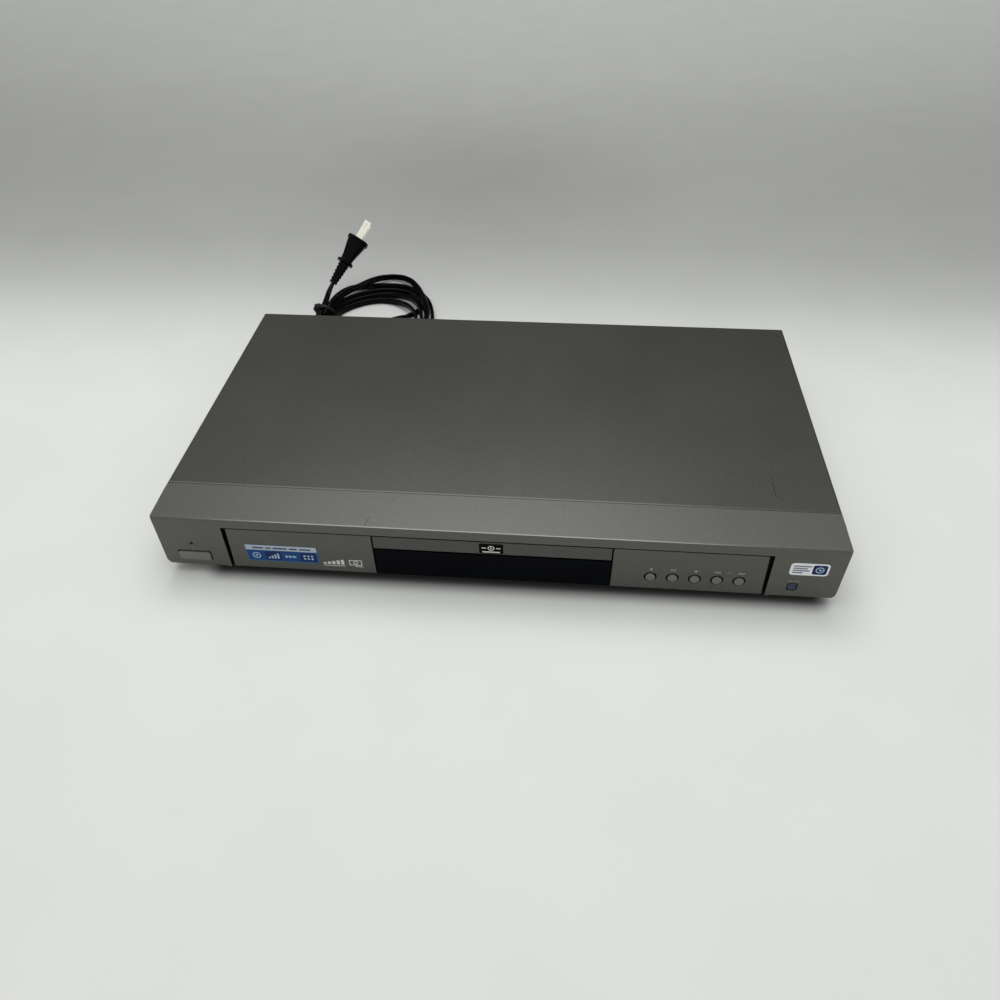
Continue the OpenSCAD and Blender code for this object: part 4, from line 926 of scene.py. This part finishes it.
def draw(bm, bars=(), rings=(), arrows=(), dots=(), y=FACE, index=0):
    """Thin printed shapes in one look. A row has the middle in X and Z and the sizes, in mm."""
    prisms = [(*row, 3) for row in arrows] + [(*row, 0, 20) for row in dots]
    before = set(bm.faces)
    for x, z, wide, high in bars:
        add_block(bm, mm(x - wide / 2, y - PRINT, z - high / 2), mm(x + wide / 2, y, z + high / 2))
    for x, z, outer, inner in rings:
        add_ring(bm, mm(x, y - PRINT / 2, z), outer * MM, inner * MM, PRINT * MM)
    for x, z, size, turn, sides in prisms:
        add_prism(bm, mm(x, y - PRINT / 2, z), size * MM, PRINT * MM, turn, sides)
    tint(set(bm.faces) - before, index)


def rising_bars(x, z, step, wide, low, rise, count):
    """Rows of bars side by side on one line, each higher than the last."""
    return [(x + i * step, z + (low + i * rise) / 2, wide, low + i * rise) for i in range(count)]


def make_symbols():
    """Plain transport symbols above the round keys."""
    bm = bmesh.new()
    eject, play, stop, back, forward = (middle_of(key + "_button").x for key in KEYS)
    z = middle_of("eject_button").z + SYMBOL_RISE
    draw(bm, bars=[(eject, z - 0.7, 1.7, 0.35), (play + 0.5, z, 0.42, 1.5),
                   (play + 1.3, z, 0.42, 1.5), (stop, z, 1.5, 1.5)],
         arrows=[(eject, z + 0.2, 1, 0), (play - 1.1, z, 0.95, TO_RIGHT)])
    for x, way in ((back, -1), (forward, 1)):
        draw(bm, [(x + way * 1.95, z, 0.36, 1.6)],
             arrows=[(x + shift, z, 0.95, way * TO_RIGHT) for shift in (-0.75, 0.75)])
    place_piece("key_symbols", bm, ["print_grey"])


def make_small_marks():
    """A power sign between two lines over the power key, and bars and arrows by the keys."""
    bm = bmesh.new()
    power, square = middle_of("power_button"), middle_of("square_button")
    between = (middle_of("back_button") + middle_of("forward_button")) / 2
    rise = power.z + 5.6
    draw(bm, [(power.x, rise + 0.9, 0.36, 1.1)], [(power.x, rise, 1.05, 0.72)])
    for side in SIDES:
        draw(bm, [(power.x + side * 5.6, rise, 7.2, 0.3),
                  (square.x + side * 2.1, square.z + 5.3, 3, 0.8)],
             arrows=[(between.x + side * 0.9, between.z + SYMBOL_RISE, 0.75, side * TO_RIGHT)])
    place_piece("small_marks", bm, ["print_dim"])


def make_marks():
    """Two plain printed marks on the left insert: rising bars on a line, and a framed disc."""
    bm = bmesh.new()
    x, z = -88, 16.9
    frame_bars = [row for side in SIDES
                  for row in ((x + side * 3.9, z, 0.6, 5), (x, z + side * 2.2, 7.2, 0.6))]
    draw(bm, rising_bars(-108.2, 14.7, 2.9, 2, 1.4, 0.75, 5) + frame_bars
         + [(-102.4, 13.4, 14, 0.5), (x + 2, 13.4, 5, 0.5)], [(x, z, 1.6, 1)])
    place_piece("insert_marks", bm, ["print_pale"])


# Stickers in millimetres: thickness of the paper, of a panel on it and of a cell on a panel
PAPER, PANEL, CELL = 0.12, 0.05, 0.04
PANEL_FACE = FACE - PAPER - PANEL
CELLS = [(-157.6, -147.4), (-146.4, -136.2), (-135.2, -124.6), (-123.6, -113.2)]
STRIP = [(-154, 7), (-145.5, 3.4), (-140.6, 9), (-130, 5), (-123.4, 7.4)]


def sticker_plate(bm, x, z, radius, lift, index, thick=PANEL):
    """A rounded plate on the front face, lift above it, with a look of its own."""
    before = set(bm.faces)
    y = FACE - lift
    rounded_block(bm, mm(x[0], y - thick, z[0]), mm(x[1], y, z[1]), radius * MM)
    tint(set(bm.faces) - before, index)


def make_left_sticker():
    """A long sticker: a pale strip of lines over four blue cells with a plain sign in each."""
    bm = bmesh.new()
    sticker_plate(bm, (-159, -112), (14.6, 29.4), 0.8, 0, 0, PAPER)
    sticker_plate(bm, (-158.7, -112.3), (24.7, 29.1), 0.6, PAPER, 1)
    sticker_plate(bm, (-158.4, -112.6), (15.2, 24.2), 0.5, PAPER, 2)
    for i, cell in enumerate(CELLS):
        sticker_plate(bm, cell, (16, 23.4), 0.8, PAPER + PANEL, 3 if i % 2 else 2, CELL)
    disc, bars, arrows, dots = ((left + right) / 2 for left, right in CELLS)
    draw(bm, rising_bars(bars - 3, 17.3, 2, 1.3, 1.4, 1.15, 4),
         [(disc, 19.7, 2.7, 2.0), (disc, 19.7, 0.9, 0.3)],
         [(arrows + shift, 19.7, 1.6, TO_RIGHT) for shift in (-2.8, -0.3, 2.2)],
         [(dots + shift, z, 0.8) for shift in (-2.5, 0, 2.5) for z in (18.5, 21)],
         PANEL_FACE - CELL, 4)
    draw(bm, [(left + wide / 2, 26.7, wide, 1.2) for left, wide in STRIP], y=PANEL_FACE, index=2)
    place_piece("left_sticker", bm,
                ["label_sky", "label_band", "label_blue", "label_navy", "label_sign"])


def make_right_sticker():
    """A small white sticker: grey lines beside a navy tile with a plain sign."""
    bm = bmesh.new()
    sticker_plate(bm, (182.2, 205.4), (27.5, 38), 2.2, 0, 0, PAPER)
    sticker_plate(bm, (195.6, 204.2), (28.7, 36.8), 1.4, PAPER, 1)
    lines = [(184 + wide / 2, 35.4 - row * 1.9, wide, 1)
             for row, wide in enumerate((10.6, 8.4, 9.8, 6.2))]
    draw(bm, lines, y=FACE - PAPER, index=2)
    draw(bm, rings=[(199.9, 32.7, 2.6, 1.9)], arrows=[(200.1, 32.7, 1.3, TO_RIGHT)],
         y=PANEL_FACE, index=3)
    place_piece("right_sticker", bm, ["label_white", "label_navy", "label_grey", "label_sign"])


def make_plate_sign():
    """A small disc sign between two lines on the dark plate of the tray door."""
    bm = bmesh.new()
    x, _, z = middle_of("door_plate")
    z += 0.9
    draw(bm, [(x - 4.5, z, 2.8, 0.8), (x + 4.5, z, 2.8, 0.8), (x, z - 3.4, 11, 1)],
         [(x, z, 2.1, 1.5), (x, z, 0.7, 0.25)], y=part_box("door_plate")[0].y / MM)
    place_piece("plate_sign", bm, ["print_pale"], body="tray")


make_symbols()
make_small_marks()
make_marks()
make_left_sticker()
make_right_sticker()
make_plate_sign()


# ---------- case ----------

# The cross of a screw head, drawn as dark bars of painted shade: its length, the width of a bar,
# and how far the face is sunk for it
CROSS_LENGTH, CROSS_WIDTH, CROSS_DEPTH = 2.9 * MM, 0.6 * MM, 0.08 * MM
RINGS = ("green", "blue", "red", "yellow", "white", "red", "orange")


def make_case():
    finished("top_cover", "cover_paint", 0.25, 2)
    finished("rear_panel", "zinc_sheet", 0.12, 1)
    finished("bottom_chassis", "zinc_sheet", 0.15, 1)
    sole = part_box("foot_front_left")[0].z + 0.4 * MM
    for corner in ("front_left", "front_right", "rear_left", "rear_right"):
        finished("foot_" + corner, "foot_plastic", 0.5, 3,
                 lambda face: face.calc_center_median().z < sole, "foot_pad")


def islands(bm):
    """The separate solids of a bmesh, each as a set of its points."""
    left = set(bm.verts)
    while left:
        grown = {left.pop()}
        newest = set(grown)
        while newest:
            newest = {edge.other_vert(v) for v in newest for edge in v.link_edges} - grown
            grown |= newest
        left -= grown
        yield grown


def cut_cross(bm, points):
    """Sinks the outward face of one screw a little and lays two dark bars across it: painted shade
    of the cross recess.
    """
    low, high = (Vector([end(v.co[i] for v in points) for i in range(3)]) for end in (min, max))
    middle = (low + high) / 2
    axis = 0 if abs(middle.x) > 0.2 else 1
    outer, sign = (low, -1) if middle[axis] < 0 else (high, 1)
    face = outer[axis]
    for vert in points:
        if abs(vert.co[axis] - face) < 0.01 * MM:
            vert.co[axis] -= sign * CROSS_DEPTH
    middle[axis] = face - sign * 3 * CROSS_DEPTH
    for along, across in ((2, 1 - axis), (1 - axis, 2)):
        half = Vector((0, 0, 0))
        half[axis], half[along], half[across] = 2.5 * CROSS_DEPTH, CROSS_LENGTH / 2, CROSS_WIDTH / 2
        tint(add_block(bm, middle - half, middle + half), 1)


def make_screws():
    """Cover screws with a dished head and a cross recess, whose shade is painted as dark bars."""
    bm = merged_copy("cover_screws")
    soften(bm, 0.45, 3)
    for points in list(islands(bm)):
        cut_cross(bm, points)
    screws = place_piece("cover_screws_finish", bm, ["black_steel", "shadow_black"])
    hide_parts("cover_screws")


def socket_places():
    """Middle of each phono socket in X, from the shells' mesh."""
    bm = merged_copy("jack_shells")
    rows = [[vert.co.x for vert in points] for points in islands(bm)]
    bm.free()
    return sorted((min(row) + max(row)) / 2 for row in rows)


def make_sockets():
    for node in ("component_jacks", "av_jacks", "digital_jacks"):
        finished(node, "socket_black", 0.2, 2)
    finished("jack_shells", "socket_metal", 0.15, 2)
    z = middle_of("jack_shells").z * MM
    for i, (x, colour) in enumerate(zip(socket_places(), RINGS)):
        bm = bmesh.new()
        add_ring(bm, (x, BACK_Y + 1.35 * MM, z), 5.4 * MM, 4.35 * MM, 0.7 * MM)
        place_piece(f"socket_ring_{i + 1}", bm, ["ring_" + colour])


make_case()
make_screws()
make_sockets()


# ---------- loader and inner parts ----------

def dress_inner_nodes():
    """Every CAD node that is still shown gets its slot's look."""
    for name, node in NODES.items():
        if not node.hide_render:
            for row in node.material_slots:
                row.material = LOOKS[SLOT_OF[name]]


finished("disc_tray", "tray_black", 0.3, 2)
finished("turntable", "table_black", 0.3, 2)
finished("clamper", "gear_white", 0.3, 2)
dress_inner_nodes()


# ---------- floor and light ----------

FLOOR_COLOUR = (0.72, 0.73, 0.715)
FLOOR_SIZE = 6
WORLD_LOW = (0.05, 0.052, 0.05, 1.0)
WORLD_HIGH = (0.72, 0.73, 0.72, 1.0)
WORLD_RISE = (0.1, 0.75)
WORLD_LEAN = 0.31
# Lamps: place, size and energy
KEY_LIGHT = ((-0.2, 0.75, 1.5), (0.9, 0.5), 4.8)
TOP_LIGHT = ((-0.05, 0.1, 1.6), (1.6, 1.1), 11.0)
LIGHT_AIM = Vector((0, -0.05, 0))

# Painted shade on the floor: tone by distance behind the middle of the case, in metres, darker
# further back and lighter again far away
FLOOR_SHADE_TONES = [(0.06, 1.0), (0.13, 0.95), (0.20, 0.82), (0.27, 0.62), (0.37, 0.49),
               (0.60, 0.44), (1.00, 0.60), (1.60, 0.92)]
FLOOR_REACH = 1.6
# A painted shadow on the floor behind the case: the spot's middle, reach, colour and share
SHADOW_SPOT = (-0.08, 0.55, 0.0)
SHADOW_SPOT_REACH = 0.32
SHADOW_SPOT_COLOUR = (0.18, 0.18, 0.17, 1)
SHADOW_SPOT_SHARE = 0.28
# Half size of the floor under the case that stays darkest, and how far the shade reaches from it
SHADE_HALF = (0.191, 0.1185, 0)
SHADE_MIDDLE = (0.0115, -0.0005, 0)
SHADE_REACH = (0.001, 0.0165)
SHADE_COLOUR = (0.1, 0.1, 0.1, 1)
WHITE = (1, 1, 1, 1)


def contact_shade(look):
    """Darkens the floor close to the case: the distance from a rectangle under it, all round."""
    place = look.vector("SUBTRACT", look.place, SHADE_MIDDLE)
    out = look.vector("SUBTRACT", look.vector("ABSOLUTE", place), SHADE_HALF)
    away = look.measure("LENGTH", look.vector("MAXIMUM", out, (0, 0, 0)))
    tone = look.mix(look.ramp(away, *SHADE_REACH), SHADE_COLOUR, WHITE)
    look.colour = look.mix(1.0, look.colour, tone, "MULTIPLY")


def make_floor():
    bm = bmesh.new()
    bmesh.ops.create_grid(bm, x_segments=1, y_segments=1, size=FLOOR_SIZE)
    mesh = bpy.data.meshes.new("floor")
    bm.to_mesh(mesh)
    bm.free()
    look = Finish("floor_white", FLOOR_COLOUR, 0.6, specular=0.15).grain(40, 0.0, tone=0.01)
    # Painted shade: the floor grows darker behind the case, and lighter again far away
    share = look.math("DIVIDE", look.axis(look.place, 1), FLOOR_REACH, clamp=True)
    tones = look.add("ValToRGB", {0: share})[0]
    tones.node.color_ramp.interpolation = "B_SPLINE"
    stops = tones.node.color_ramp.elements
    while len(stops) < len(FLOOR_SHADE_TONES):
        stops.new(0.5)
    for stop, (away, tone) in zip(stops, FLOOR_SHADE_TONES):
        stop.position = away / FLOOR_REACH
        stop.color = (tone, tone, tone, 1)
    look.colour = look.mix(1.0, look.colour, tones, "MULTIPLY")
    # Painted shadow: a soft dark spot on the floor behind the case
    away = look.measure("DISTANCE", look.place, SHADOW_SPOT)
    look.mask(look.ramp(away, SHADOW_SPOT_REACH, 0.0), SHADOW_SPOT_COLOUR, SHADOW_SPOT_SHARE)
    contact_shade(look)
    mesh.materials.append(look.done())
    new_object("floor", mesh)


def add_soft_box(name, place, size, energy):
    data = bpy.data.lights.new(name, "AREA")
    data.shape = "RECTANGLE"
    data.size, data.size_y = size
    data.energy = energy
    lamp = new_object(name, data)
    lamp.location = place
    lamp.rotation_euler = (LIGHT_AIM - Vector(place)).to_track_quat("-Z", "Y").to_euler()


def make_lights():
    world = bpy.data.worlds.new("studio")
    bpy.context.scene.world = world
    world.use_nodes = True
    sky = Nodes(world.node_tree)
    ways = sky.coords["Generated"]
    behind = sky.math("MULTIPLY", sky.axis(ways, 1), WORLD_LEAN)
    height = sky.math("SUBTRACT", sky.axis(ways, 2), behind)
    colour = sky.mix(sky.ramp(height, *WORLD_RISE), WORLD_LOW, WORLD_HIGH)
    sky.put(colour, sky.tree.nodes["Background"].inputs["Color"])
    add_soft_box("key_light", *KEY_LIGHT)
    add_soft_box("top_light", *TOP_LIGHT)


make_floor()
make_lights()
bpy.context.scene.view_settings.view_transform = "Standard"
